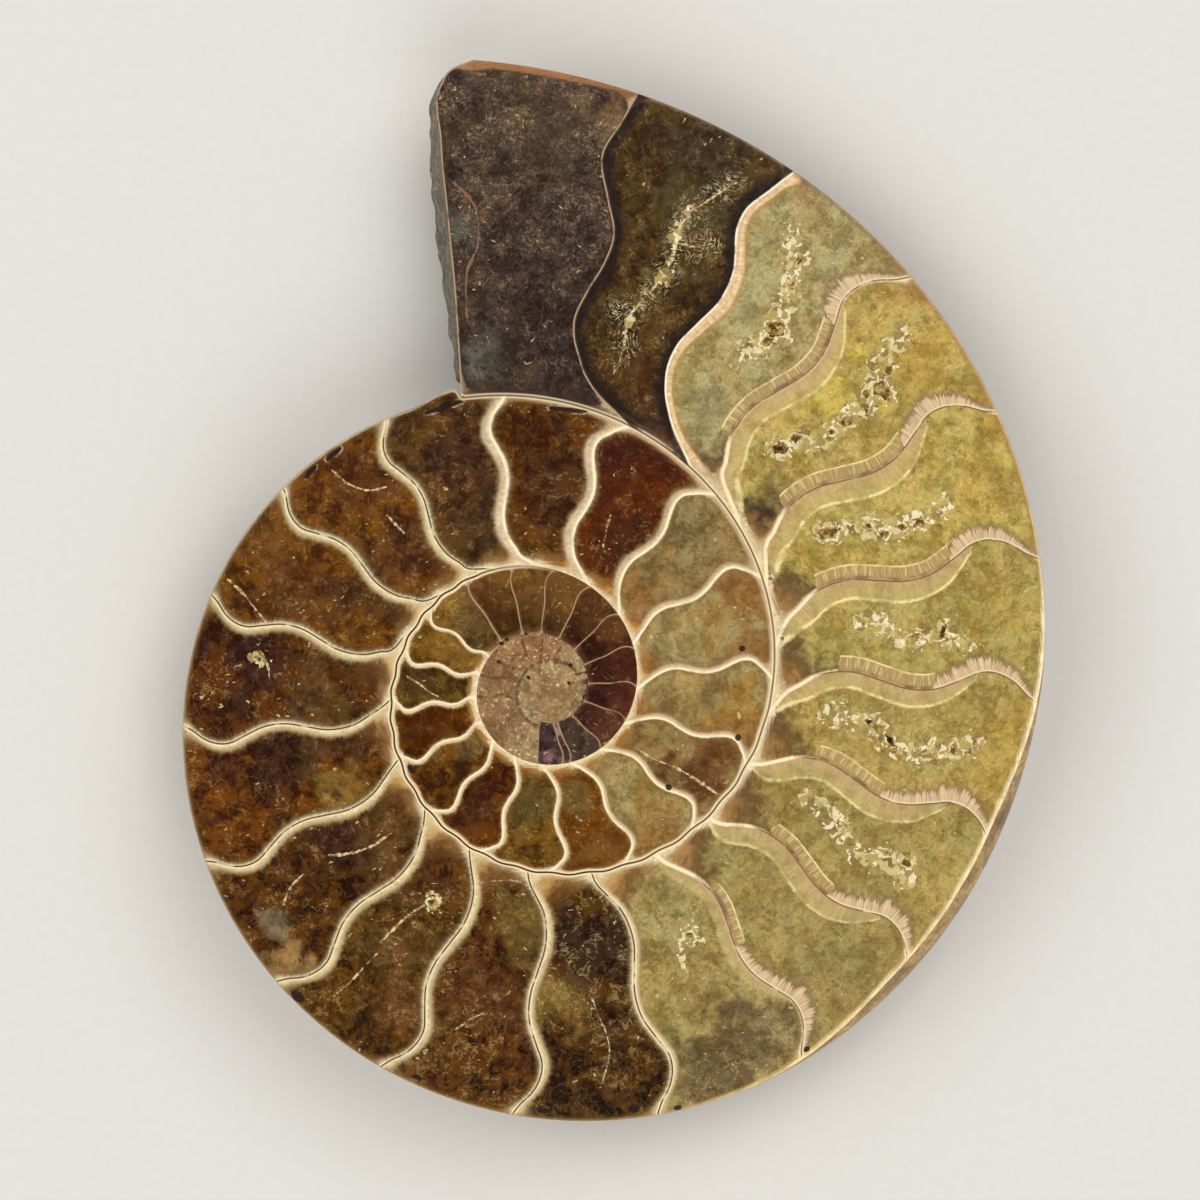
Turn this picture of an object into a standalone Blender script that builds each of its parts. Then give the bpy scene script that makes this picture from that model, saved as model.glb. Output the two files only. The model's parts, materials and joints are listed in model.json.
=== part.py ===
"""Half of an ammonite, sawn through its coil and polished, lying with the cut face up.

The shell is one stone: calcite and clay filled every chamber before the saw went through.
Lengths are in metres and angles in degrees. A turn angle counts on through every whorl, so
that 810 and 1170 are the same direction, one whorl apart. +X is 0 and +Y is 90.
"""

import math

import bmesh
import bpy
from mathutils import Matrix, Vector, noise

MM = 0.001

# The coil: the radius of the outer wall at each quarter turn, from 450 degrees on.
FIRST_QUARTER = 450.0
QUARTER_RADII = [r * MM for r in (12.3, 14.8, 18.2, 23.2, 29.2, 35.5, 42.9, 50.2, 62.2, 87.8)]
LAST_WHORL_START = 825.5
WHORL_THINNING = 0.5  # thickness of each whorl over that of the next one out
SEAM_RATIO = 0.19  # radius of the umbilical seam over the radius of the wall

# The back: depth of the flank below the middle plane of the shell.
HEIGHT = 13.0 * MM
FULL_FROM = 1000.0  # from this turn angle on, the flank reaches down to the table
CREST = 0.3  # where on the flank it is thickest, from the seam (0) to the outer edge (1)
VENTER_POWER = 2.6
VENTER_ROUND = 0.75
SHOULDER_DROP = 0.12
SEAM_DROP = 0.45

# The saw left the middle plane a little on one side, where more than half of the shell remains.
CUT_OFFSET = 2.3 * MM
CUT_OFFSET_AT = 1052.0
CUT_OFFSET_SPAN = 36.0
LEAST_OFFSET = 0.25 * MM

RIB_COUNT = 26
RIB_RELIEF = 0.007  # height of a rib over the radius of the wall there
RIB_SWEEP = 9.0

# The broken mouth: how far across the whorl (0 inner wall, 1 outer wall) and at what angle.
BREAK_LINE = [(1.0, 1176.0), (0.97, 1178.0), (0.92, 1179.3), (0.75, 1180.3), (0.5, 1181.2)]
BREAK_LINE += [(0.28, 1182.3), (0.1, 1183.9), (0.0, 1185.0)]
BREAK_SLOPE = 1.2 * MM
BREAK_RELIEF = 0.35 * MM
REMNANT = 1.1 * MM  # a scrap of the last whorl's inner wall left beside the break
REMNANT_SPAN = 10.0

# Hollows lined with crystals: turn angle, place across the whorl, length, width, depth in mm.
HOLLOWS = [
    (1137.0, 0.55, 2.6, 2.2, 1.6),
    (1139.5, 0.78, 1.8, 1.0, 0.9),
    (1125.0, 0.29, 3.4, 2.4, 2.2),
    (1120.6, 0.56, 2.4, 1.1, 1.1),
    (1123.8, 0.70, 2.6, 0.9, 0.9),
    (1103.8, 0.57, 3.0, 1.3, 1.3),
    (1106.6, 0.44, 2.2, 1.2, 1.0),
    (1109.0, 0.29, 2.4, 1.5, 1.4),
    (1087.4, 0.62, 2.4, 1.5, 1.2),
    (1074.4, 0.38, 2.0, 1.1, 1.1),
    (1071.6, 0.49, 2.2, 1.0, 1.0),
    (1053.4, 0.60, 2.6, 1.1, 1.0),
    (1022.2, 0.33, 1.6, 1.0, 0.9),
    (962.8, 0.28, 1.7, 1.2, 0.9),
    (895.2, 0.65, 1.3, 0.9, 0.8),
]

ARC_COLUMNS = 138
WALL_ROWS = (0.0, 0.12, 0.3, 0.48, 0.66, 0.82, 0.93, 0.985)
FLANK_ROWS = (0.42, 0.3, 0.18, 0.09, 0.03, 0.0)
UMBILICUS_ROWS = (0.8, 0.6, 0.4, 0.2)


def clear_scene():
    for old in list(bpy.data.objects):
        bpy.data.objects.remove(old, do_unlink=True)


def smooth_step(x):
    x = min(1.0, max(0.0, x))
    return x * x * (3.0 - 2.0 * x)


def wall_radius(turn):
    """Radius of the outer wall at a turn angle, smooth through the quarter-turn radii."""
    logs = [math.log(r) for r in QUARTER_RADII]
    logs = [2 * logs[0] - logs[1]] + logs + [2 * logs[-1] - logs[-2]]
    place = (turn - FIRST_QUARTER) / 90.0
    i = min(len(QUARTER_RADII) - 2, max(0, math.floor(place)))
    t = place - i
    a, b, c, d = logs[i : i + 4]
    bend = (2 * a - 5 * b + 4 * c - d) * t * t + (3 * b - a - 3 * c + d) * t**3
    return math.exp(0.5 * (2 * b + (c - a) * t + bend))


def cut_offset(turn):
    """How far the cut lies above the middle plane of the shell."""
    away = abs(turn - CUT_OFFSET_AT) / CUT_OFFSET_SPAN
    return LEAST_OFFSET + (CUT_OFFSET - LEAST_OFFSET) * smooth_step(1.4 - 1.4 * away)


def thickness(turn):
    """Depth of the flank at its crest, from the middle plane."""
    grown = smooth_step((turn - LAST_WHORL_START) / (FULL_FROM - LAST_WHORL_START))
    return (HEIGHT - cut_offset(turn)) * (WHORL_THINNING + (1.0 - WHORL_THINNING) * grown)


def flank(s):
    """Depth of the flank over its crest's, at s from the seam (0) to the outer edge (1)."""
    if s >= CREST:
        return (1.0 - min(1.0, (s - CREST) / (1.0 - CREST)) ** VENTER_POWER) ** VENTER_ROUND
    x = (CREST - s) / CREST
    return 1.0 - SHOULDER_DROP * x**2 - SEAM_DROP * x**8


def place_of_depth(fraction):
    """The s at which the flank, outside its crest, has this fraction of the full depth."""
    inner = (1.0 - abs(fraction) ** (1.0 / VENTER_ROUND)) ** (1.0 / VENTER_POWER)
    return CREST + (1.0 - CREST) * inner


def rib(turn, s):
    """Low ribs that bend forward over the outer flank and fade at both ends."""
    swing = turn - RIB_SWEEP * math.sin(math.pi * s)
    envelope = smooth_step((s - 0.34) / 0.2) * smooth_step((1.0 - s) / 0.12)
    wave = 0.5 + 0.5 * math.cos(math.radians(swing * RIB_COUNT))
    return RIB_RELIEF * wall_radius(turn) * envelope * wave


def depth_at(radius, turn):
    """Depth of the back at this radius, with the older whorls showing inside the seam."""
    deep = thickness(turn)
    for _ in range(3):
        outer = wall_radius(turn)
        seam = outer * SEAM_RATIO
        if radius >= seam:
            break
        turn = max(turn - 360.0, FIRST_QUARTER)
        deep *= WHORL_THINNING
    s = max(0.0, (radius - seam) / (outer - seam))
    return deep * flank(s)


def profile(turn):
    """One radial section, from the edge of the cut down and in to near the centre."""
    outer = wall_radius(turn)
    seam = outer * SEAM_RATIO
    offset = cut_offset(turn)
    deep = thickness(turn)
    top = HEIGHT - offset
    points = []
    for height in (offset, offset * 0.5):
        s = place_of_depth(height / deep)
        points.append((seam + s * (outer - seam), top + height))
    for fraction in WALL_ROWS:
        s = place_of_depth(fraction)
        points.append((seam + s * (outer - seam), top - fraction * deep + rib(turn, s)))
    for s in FLANK_ROWS:
        points.append((seam + s * (outer - seam), top - deep * flank(s) + rib(turn, s)))
    for part in UMBILICUS_ROWS:
        points.append((seam * part, top - depth_at(seam * part, turn)))
    return points


def polar(radius, turn, height):
    angle = math.radians(turn)
    return Vector((radius * math.cos(angle), radius * math.sin(angle), height))


def arc_column(turn):
    """The section at a place where the whorl is whole."""
    extra = REMNANT * smooth_step(1.0 - (turn - LAST_WHORL_START) / REMNANT_SPAN)
    points = profile(turn)
    edge = len(WALL_ROWS)
    return [
        polar(r + extra * max(0.0, 1.0 - i / edge), turn, z) for i, (r, z) in enumerate(points)
    ]


def break_column(across, turn):
    """The section through the broken mouth: the same one, cut short by a sloping, lumpy face."""
    inner, outer = wall_radius(turn - 360.0), wall_radius(turn)
    limit = inner + across * (outer - inner)
    outward = polar(1.0, turn + 90.0, 0.0)
    end = math.sin(math.pi * min(1.0, max(0.0, 1.06 - across))) ** 0.4
    points = []
    for r, z in profile(turn):
        place = polar(min(r, limit), turn, min(z, HEIGHT))
        if r > limit:
            down = smooth_step((HEIGHT - z) / (0.4 * HEIGHT))
            lump = BREAK_RELIEF * noise.noise(place * 260.0) * down
            place += outward * (BREAK_SLOPE * down * end + lump)
        points.append(place)
    return points


def make_stone():
    """The whole half as one closed mesh: a flat cut face, the rounded back and the broken mouth."""
    first, last = LAST_WHORL_START, BREAK_LINE[0][1]
    step = (last - first) / (ARC_COLUMNS + 1)
    columns = [arc_column(first + step * (i + 0.25)) for i in range(ARC_COLUMNS)]
    columns += [break_column(across, turn) for across, turn in BREAK_LINE]
    mesh = bmesh.new()
    rings = [[mesh.verts.new(point) for point in column] for column in columns]
    rows = len(rings[0])
    centre = mesh.verts.new((0.0, 0.0, HEIGHT - depth_at(0.0, LAST_WHORL_START)))
    mesh.faces.new([ring[0] for ring in rings])
    for ring, following in zip(rings, rings[1:] + rings[:1]):
        for k in range(rows - 1):
            mesh.faces.new((ring[k], ring[k + 1], following[k + 1], following[k]))
        mesh.faces.new((ring[rows - 1], centre, following[rows - 1]))
    bmesh.ops.recalc_face_normals(mesh, faces=mesh.faces)
    return mesh


def make_hollows():
    """Lumpy, flat-sided plugs, in the places of the hollows between the crystals."""
    mesh = bmesh.new()
    for n, (turn, across, length, width, depth) in enumerate(HOLLOWS):
        inner, outer = wall_radius(turn - 360.0), wall_radius(turn)
        made = bmesh.ops.create_icosphere(mesh, subdivisions=2, radius=1.0)["verts"]
        size = Matrix.Diagonal((length * MM / 2, width * MM / 2, depth * MM, 1.0))
        turned = Matrix.Rotation(math.radians(turn), 4, "Z")
        place = Matrix.Translation(polar(inner + across * (outer - inner), turn, HEIGHT))
        for vert in made:
            vert.co *= 1.0 + 0.38 * noise.noise(vert.co * 1.7 + Vector((n * 5.1, 0.0, 0.0)))
            vert.co = place @ turned @ size @ vert.co
    bmesh.ops.recalc_face_normals(mesh, faces=mesh.faces)
    return mesh


def add_object(name, mesh):
    data = bpy.data.meshes.new(name)
    mesh.to_mesh(data)
    mesh.free()
    thing = bpy.data.objects.new(name, data)
    bpy.context.scene.collection.objects.link(thing)
    return thing


def centre_on_origin(things, measured):
    """Moves the meshes so that the middle of the measured one's footprint is over the origin."""
    xs = [v.co.x for v in measured.data.vertices]
    ys = [v.co.y for v in measured.data.vertices]
    lowest = min(v.co.z for v in measured.data.vertices)
    shift = Vector((-(min(xs) + max(xs)) / 2, -(min(ys) + max(ys)) / 2, -lowest))
    for thing in things:
        thing.data.transform(Matrix.Translation(shift))
    return shift


def stone_material():
    material = bpy.data.materials.new("fossil_calcite")
    material.use_nodes = True
    shader = material.node_tree.nodes["Principled BSDF"]
    shader.inputs["Base Color"].default_value = (0.22, 0.13, 0.05, 1.0)
    shader.inputs["Roughness"].default_value = 0.3
    shader.inputs["Metallic"].default_value = 0.0
    return material


def main():
    clear_scene()
    stone = add_object("ammonite_half", make_stone())
    hollows = add_object("hollow_plugs", make_hollows())
    centre_on_origin([stone, hollows], stone)
    stone.data.materials.append(stone_material())
    hollows.hide_render = True
    hollows.display_type = "WIRE"
    cut = stone.modifiers.new("Hollows", "BOOLEAN")
    cut.operation = "DIFFERENCE"
    cut.solver = "EXACT"
    cut.object = hollows
    stone.data.shade_smooth()
    stone.data.set_sharp_from_angle(angle=math.radians(40.0))


main()
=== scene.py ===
import json
import math
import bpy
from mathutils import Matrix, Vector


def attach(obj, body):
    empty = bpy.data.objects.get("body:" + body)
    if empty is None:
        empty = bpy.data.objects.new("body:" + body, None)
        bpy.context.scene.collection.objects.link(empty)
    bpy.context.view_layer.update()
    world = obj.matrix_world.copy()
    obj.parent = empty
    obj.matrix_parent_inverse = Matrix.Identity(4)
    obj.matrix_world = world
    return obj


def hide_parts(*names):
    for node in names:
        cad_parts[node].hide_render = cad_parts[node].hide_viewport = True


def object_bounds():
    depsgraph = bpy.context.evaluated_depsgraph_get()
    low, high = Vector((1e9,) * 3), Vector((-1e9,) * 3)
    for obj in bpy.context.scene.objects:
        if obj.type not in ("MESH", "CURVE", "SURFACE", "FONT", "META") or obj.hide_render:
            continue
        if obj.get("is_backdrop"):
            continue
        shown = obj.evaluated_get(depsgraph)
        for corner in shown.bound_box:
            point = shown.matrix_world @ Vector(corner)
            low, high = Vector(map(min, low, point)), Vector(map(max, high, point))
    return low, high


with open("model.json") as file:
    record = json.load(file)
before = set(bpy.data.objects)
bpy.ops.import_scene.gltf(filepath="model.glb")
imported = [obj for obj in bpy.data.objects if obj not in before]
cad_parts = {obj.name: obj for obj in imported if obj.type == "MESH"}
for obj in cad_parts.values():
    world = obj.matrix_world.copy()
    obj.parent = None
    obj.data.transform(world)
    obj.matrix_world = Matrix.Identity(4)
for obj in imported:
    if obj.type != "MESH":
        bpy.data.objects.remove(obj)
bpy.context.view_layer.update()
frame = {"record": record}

from types import SimpleNamespace

import bpy
import numpy as np
from mathutils import Vector, geometry, kdtree, noise

# ------------------------------------------------------------------------------------------
# THE COIL. One shell wound in a flat spiral, sawn through its middle plane. A place on the cut
# is a turn angle in degrees, counted on through all the whorls, and how far across the whorl
# it lies, from its inner wall (0) to its outer wall (1). Plan lengths are in mm.
# ------------------------------------------------------------------------------------------
MM = 0.001
COIL_MIDDLE = Vector(frame["record"]["mounts"][0]["pos_m"])
HEIGHT = COIL_MIDDLE.z / MM

FIRST_QUARTER = -90.0
QUARTER_RADII = (3.2, 4.7, 5.65, 6.3, 7.4, 9.6, 12.3, 14.8, 18.2, 23.2, 29.2, 35.5, 42.9)
QUARTER_RADII += (50.2, 62.2, 87.8)
CORE_END = 268.0  # up to here the first whorl is packed with clay
LAST_WHORL_START = 825.5
SEAM_RATIO = 0.19
RIPPLE = 0.09  # the young whorls' wall swings this much with each rib
RIPPLE_TURN = 11.0


def wall_radius(turn):
    """Radius of the outer wall of the whorl at a turn angle, smooth through the quarter turns."""
    logs = np.log(np.array(QUARTER_RADII))
    logs = np.concatenate([[2 * logs[0] - logs[1]], logs, [2 * logs[-1] - logs[-2]]])
    along = (np.asarray(turn, float) - FIRST_QUARTER) / 90.0
    i = np.clip(np.floor(along).astype(int), 0, len(QUARTER_RADII) - 2)
    t = along - i
    a, b, c, d = (logs[i + k] for k in range(4))
    bend = (2 * a - 5 * b + 4 * c - d) * t * t + (3 * b - a - 3 * c + d) * t**3
    ripple = np.clip((turn - 470.0) / 20.0, 0, 1) * np.clip((725.0 - turn) / 30.0, 0, 1)
    ripple = RIPPLE * ripple * np.cos(2 * np.pi * (turn - 507.0) / RIPPLE_TURN)
    return np.exp(0.5 * (2 * b + (c - a) * t + bend)) + ripple


def smooth_step(x):
    x = np.clip(x, 0.0, 1.0)
    return x * x * (3.0 - 2.0 * x)


def through(knots, x):
    """A smooth curve through (place, value) knots, read at x."""
    xs, ys = np.array(sorted(knots), float).T
    slopes = np.gradient(ys, xs)
    x = np.clip(x, xs[0], xs[-1])
    i = np.clip(np.searchsorted(xs, x) - 1, 0, len(xs) - 2)
    step = xs[i + 1] - xs[i]
    t = (x - xs[i]) / step
    return (
        (2 * t**3 - 3 * t**2 + 1) * ys[i]
        + (t**3 - 2 * t**2 + t) * step * slopes[i]
        + (3 * t**2 - 2 * t**3) * ys[i + 1]
        + (t**3 - t**2) * step * slopes[i + 1]
    )


def at(radius, turn):
    angle = np.radians(turn)
    return np.stack([radius * np.cos(angle), radius * np.sin(angle)], -1)


def spot(turn, across):
    """Plan position of a place on the cut."""
    turn, across = np.asarray(turn, float), np.asarray(across, float)
    inner = wall_radius(turn - 360.0)
    return at(inner + across * (wall_radius(turn) - inner), turn)


def turn_and_across(points, near_turn):
    """The turn angle, next to a known one, and the place across the whorl of plan points."""
    angle = np.degrees(np.arctan2(points[:, 1], points[:, 0]))
    turn = angle + 360.0 * np.round((near_turn - angle) / 360.0)
    inner = wall_radius(turn - 360.0)
    radius = np.hypot(points[:, 0], points[:, 1])
    return turn, (radius - inner) / (wall_radius(turn) - inner)


# The flank of the last whorl, as the solid has it: the cut lies above the middle plane where
# more than half of the shell was kept, and there the venter bulges out past the cut's edge.
WHORL_THINNING = 0.5
FULL_FROM = 1000.0
CREST = 0.3
VENTER_POWER = 2.6
VENTER_ROUND = 0.75
SHOULDER_DROP = 0.12
SEAM_DROP = 0.45
CUT_OFFSET = 2.3
CUT_OFFSET_AT = 1052.0
CUT_OFFSET_SPAN = 36.0
LEAST_OFFSET = 0.25
REMNANT = 1.1
REMNANT_SPAN = 10.0


def cut_offset(turn):
    away = np.abs(turn - CUT_OFFSET_AT) / CUT_OFFSET_SPAN
    return LEAST_OFFSET + (CUT_OFFSET - LEAST_OFFSET) * smooth_step(1.4 - 1.4 * away)


def thickness(turn):
    grown = smooth_step((turn - LAST_WHORL_START) / (FULL_FROM - LAST_WHORL_START))
    return (HEIGHT - cut_offset(turn)) * (WHORL_THINNING + (1.0 - WHORL_THINNING) * grown)


def place_of_depth(fraction):
    inner = (1.0 - np.abs(fraction) ** (1.0 / VENTER_ROUND)) ** (1.0 / VENTER_POWER)
    return CREST + (1.0 - CREST) * inner


def edge_radius(turn):
    """Radius of the cut's own edge around the last whorl, and of the wall further in."""
    turn = np.asarray(turn, float)
    outer = wall_radius(turn)
    s = place_of_depth(cut_offset(turn) / thickness(turn))
    scrap = REMNANT * smooth_step(1.0 - (turn - LAST_WHORL_START) / REMNANT_SPAN)
    edge = outer * (SEAM_RATIO + s * (1.0 - SEAM_RATIO)) + scrap
    return np.where(turn < LAST_WHORL_START - 0.3, outer, edge)


# ------------------------------------------------------------------------------------------
# THE SEPTA. Thin walls that parted the chambers, all with the same S-shaped section; sawn,
# they show as cream lines. Each is given by its turn angle in mid-whorl and by how far its
# foot runs back along the inner wall.
# ------------------------------------------------------------------------------------------
OLD_SHAPE = ((1.0, -3.5), (0.9, -1.2), (0.8, 0.0), (0.7, 0.4), (0.5, 0.0), (0.4, 0.2))
OLD_SHAPE += ((0.3, 0.8), (0.2, 1.3), (0.1, 1.8))
MIDDLE_SHAPE = ((1.0, -4.0), (0.95, -2.0), (0.9, -0.3), (0.85, 1.4), (0.78, 2.2), (0.7, 1.6))
MIDDLE_SHAPE += ((0.6, 0.1), (0.5, -0.3), (0.4, 0.8), (0.3, 2.5), (0.2, 2.4), (0.1, -0.6))
YOUNG_SHAPE = ((1.0, -1.8), (0.95, -0.7), (0.9, 0.8), (0.85, 1.8), (0.77, 2.3), (0.7, 1.4))
YOUNG_SHAPE += ((0.6, 0.1), (0.5, 0.2), (0.4, 1.6), (0.3, 3.2), (0.25, 3.5), (0.2, 3.4))
YOUNG_SHAPE += ((0.15, 2.7), (0.1, 1.0), (0.05, -1.0))
MOUTH_SEPTUM = ((1.0, -0.1), (0.9, 1.0), (0.77, 2.6), (0.65, 1.3), (0.55, 0.0), (0.45, 0.7))
MOUTH_SEPTUM += ((0.35, 2.5), (0.25, 3.9), (0.2, 3.6), (0.15, 2.5), (0.1, 1.0), (0.05, -2.4))
WHITE_SEPTUM = ((1.0, -1.3), (0.9, 0.2), (0.8, 1.7), (0.75, 1.8), (0.6, 0.0), (0.5, 0.1))
WHITE_SEPTUM += ((0.4, 1.6), (0.3, 3.2), (0.2, 3.0), (0.12, 0.8), (0.05, -3.6))

SEPTA = [(turn, 2.4, OLD_SHAPE) for turn in (289.5, 295.6, 319.5, 344.0, 365.5, 387.5)]
SEPTA += [(turn, 2.4, OLD_SHAPE) for turn in (407.5, 427.6, 446.9, 465.0, 486.0)]
SEPTA += [(506.6, 0.5, MIDDLE_SHAPE), (526.2, -1.5, MIDDLE_SHAPE), (546.6, 1.0, MIDDLE_SHAPE)]
SEPTA += [(568.2, 1.0, MIDDLE_SHAPE), (591.2, -4.0, MIDDLE_SHAPE), (613.6, -5.0, MIDDLE_SHAPE)]
SEPTA += [(turn, -6.0, MIDDLE_SHAPE) for turn in (636.8, 659.4, 681.6, 704.0, 726.4)]
SEPTA += [(750.8, -4.5, MIDDLE_SHAPE), (772.0, -8.5, MIDDLE_SHAPE), (795.2, -10.0, MIDDLE_SHAPE)]
SEPTA += [(818.6, -9.0, YOUNG_SHAPE), (841.2, -10.0, YOUNG_SHAPE), (863.5, -8.0, YOUNG_SHAPE)]
SEPTA += [(885.5, -11.0, YOUNG_SHAPE), (907.4, -4.0, YOUNG_SHAPE), (928.8, -3.0, YOUNG_SHAPE)]
SEPTA += [(949.6, -4.0, YOUNG_SHAPE), (968.8, -3.0, YOUNG_SHAPE), (988.0, -2.0, YOUNG_SHAPE)]
SEPTA += [(1007.2, -1.5, YOUNG_SHAPE), (1026.8, -1.6, YOUNG_SHAPE), (1044.3, -1.5, YOUNG_SHAPE)]
SEPTA += [(1062.4, -2.0, YOUNG_SHAPE), (1080.0, -6.0, YOUNG_SHAPE), (1096.4, -6.0, YOUNG_SHAPE)]
SEPTA += [(1113.0, -9.0, YOUNG_SHAPE), (1129.8, -11.0, YOUNG_SHAPE)]
SEPTA += [(1145.1, -9.5, WHITE_SEPTUM), (1160.7, -9.5, MOUTH_SEPTUM)]

BREAK_LINE = ((1.0, 1176.0), (0.97, 1178.0), (0.92, 1179.3), (0.75, 1180.3), (0.5, 1181.2))
BREAK_LINE += ((0.28, 1182.3), (0.1, 1183.9), (0.0, 1185.0))

GRAIN_STEP = 0.36  # spacing of the points over the cut, in mm
ROW_STEP = GRAIN_STEP * 0.866  # of their staggered rows
LINE_STEP = 0.33  # along septa and walls
CRACK_STEP = 0.3  # along healed cracks
HOLLOW_STEP = 0.16  # round hollows
SHORTEST_STEP = 0.08
LEAST_GAP = 0.045**0.5  # between a point of the cut and any line


def spaced(points, step):
    """The same line with its points a step apart."""
    lengths = np.concatenate([[0], np.cumsum(np.hypot(*np.diff(points, axis=0).T))])
    places = np.linspace(0, lengths[-1], max(2, int(round(lengths[-1] / step)) + 1))
    return np.stack([np.interp(places, lengths, points[:, k]) for k in (0, 1)], -1)


def septum_line(turn, foot, shape):
    """A septum from the inner wall to the outer one: plan points, and the turn at both ends."""
    across = np.linspace(0, 1, 500)
    turns = turn + through(shape + ((0.0, foot),), across)
    inner = wall_radius(turns - 360.0)
    edge = (edge_radius(turns) - inner) / (wall_radius(turns) - inner)
    kept = across <= np.minimum(edge, 1.0)
    turns, across = turns[kept], across[kept]
    points = spot(turns, across)
    points[-1] = at(edge_radius(turns[-1]), turns[-1])
    return spaced(points, LINE_STEP), turns[0], turns[-1]


lines = [(spaced(spot(CORE_END, np.linspace(0, 1, 50)), LINE_STEP), CORE_END, CORE_END)]
lines += [septum_line(*septum) for septum in SEPTA]
break_across = np.linspace(0, 1, 300)
break_turns = through(BREAK_LINE, break_across)
break_points = spot(break_turns, break_across)
break_points[-1] = at(edge_radius(break_turns[-1]), break_turns[-1])
lines += [(spaced(break_points, LINE_STEP), break_turns[0], break_turns[-1])]

# The walls of all whorls are one line of plan points, so that both sides share them.
feet = {round(float(line[1]) - 360.0, 3) for line in lines}
joints = sorted(feet | {float(line[2]) for line in lines})
steps = [joints[0]]
for joint in joints[1:]:
    length = (joint - steps[-1]) * math.pi / 180.0 * float(edge_radius(joint))
    if length < SHORTEST_STEP:
        continue
    count = max(1, int(round(length / LINE_STEP)))
    steps += list(np.linspace(steps[-1], joint, count + 1)[1:])
wall_turns = np.array(steps)
wall_points = at(edge_radius(wall_turns), wall_turns)


def wall_index(turn):
    return int(np.abs(wall_turns - turn).argmin())


plan = [tuple(p) for p in wall_points]
line_ids = []
for points, foot_turn, top_turn in lines:
    first, last = wall_index(foot_turn - 360.0), wall_index(top_turn)
    between = list(range(len(plan), len(plan) + len(points) - 2))
    plan += [tuple(p) for p in points[1:-1]]
    line_ids.append([first] + between + [last])

outlines = []
for older, younger in zip(line_ids, line_ids[1:]):
    loop = list(range(older[0], younger[0] + 1)) + younger[1:]
    loop += list(range(younger[-1] - 1, older[-1] - 1, -1)) + older[-2:0:-1]
    outlines.append(loop[::-1])
core_outline = list(range(line_ids[0][0], line_ids[0][-1] + 1)) + line_ids[0][-2:0:-1]

# Hollows where the calcite never met in the middle of a chamber: x and y from the middle of the
# coil, size both ways, depth, slant in degrees, and how thick the white druse round them is.
HOLLOWS = [
    (23.6, 36.2, 2.1, 1.8, 1.6, 20, 0.30),
    (22.7, 34.8, 1.7, 0.9, 1.1, 40, 0.30),
    (26.0, 43.0, 0.9, 1.8, 0.8, -10, 0.10),
    (25.3, 40.8, 0.9, 1.0, 0.7, 30, 0.24),
    (34.2, 30.1, 1.8, 2.3, 1.5, 20, 0.16),
    (34.9, 32.0, 1.1, 1.2, 0.7, 0, 0.05),
    (32.7, 29.6, 0.9, 1.0, 0.9, -40, 0.18),
    (32.6, 28.3, 0.7, 1.1, 0.8, 10, 0.16),
    (30.6, 26.8, 1.7, 1.1, 1.2, 10, 0.22),
    (29.2, 25.8, 1.1, 0.6, 0.9, 20, 0.20),
    (25.6, 25.2, 1.5, 0.9, 1.1, 15, 0.24),
    (24.0, 24.2, 1.4, 1.5, 1.8, -30, 0.50),
    (28.9, 15.7, 2.6, 1.4, 1.6, 8, 0.28),
    (32.8, 16.4, 0.9, 0.7, 0.8, 0, 0.20),
    (34.4, 15.6, 1.0, 0.9, 1.0, 0, 0.30),
    (36.2, 16.3, 1.1, 0.8, 1.0, 15, 0.20),
    (38.0, 16.8, 1.4, 1.0, 1.0, 35, 0.22),
    (40.3, 5.8, 0.7, 1.8, 1.0, -12, 0.24),
    (37.6, 5.4, 1.5, 0.6, 0.8, 5, 0.22),
    (32.9, -3.2, 1.0, 0.6, 1.2, 0, 0.22),
    (35.1, -5.1, 0.7, 1.8, 1.4, 35, 0.28),
    (41.4, -5.8, 0.8, 1.3, 0.9, -10, 0.16),
    (43.5, -5.5, 0.7, 1.2, 0.8, -15, 0.12),
    (38.6, -6.1, 1.2, 0.6, 0.7, 10, 0.18),
    (34.6, -16.3, 1.2, 0.8, 0.8, -20, 0.20),
    (36.6, -17.3, 1.2, 0.7, 0.8, -25, 0.16),
    (15.1, -24.6, 1.2, 0.6, 0.7, -40, 0.30),
    (-10.8, -21.2, 1.0, 0.8, 0.9, 30, 0.24),
    (-28.1, 3.1, 0.6, 0.5, 0.7, 0, 0.14),
]
HOLLOW_RINGS = ((0.80, 0.45), (0.55, 0.8), (0.25, 1.0))

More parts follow.
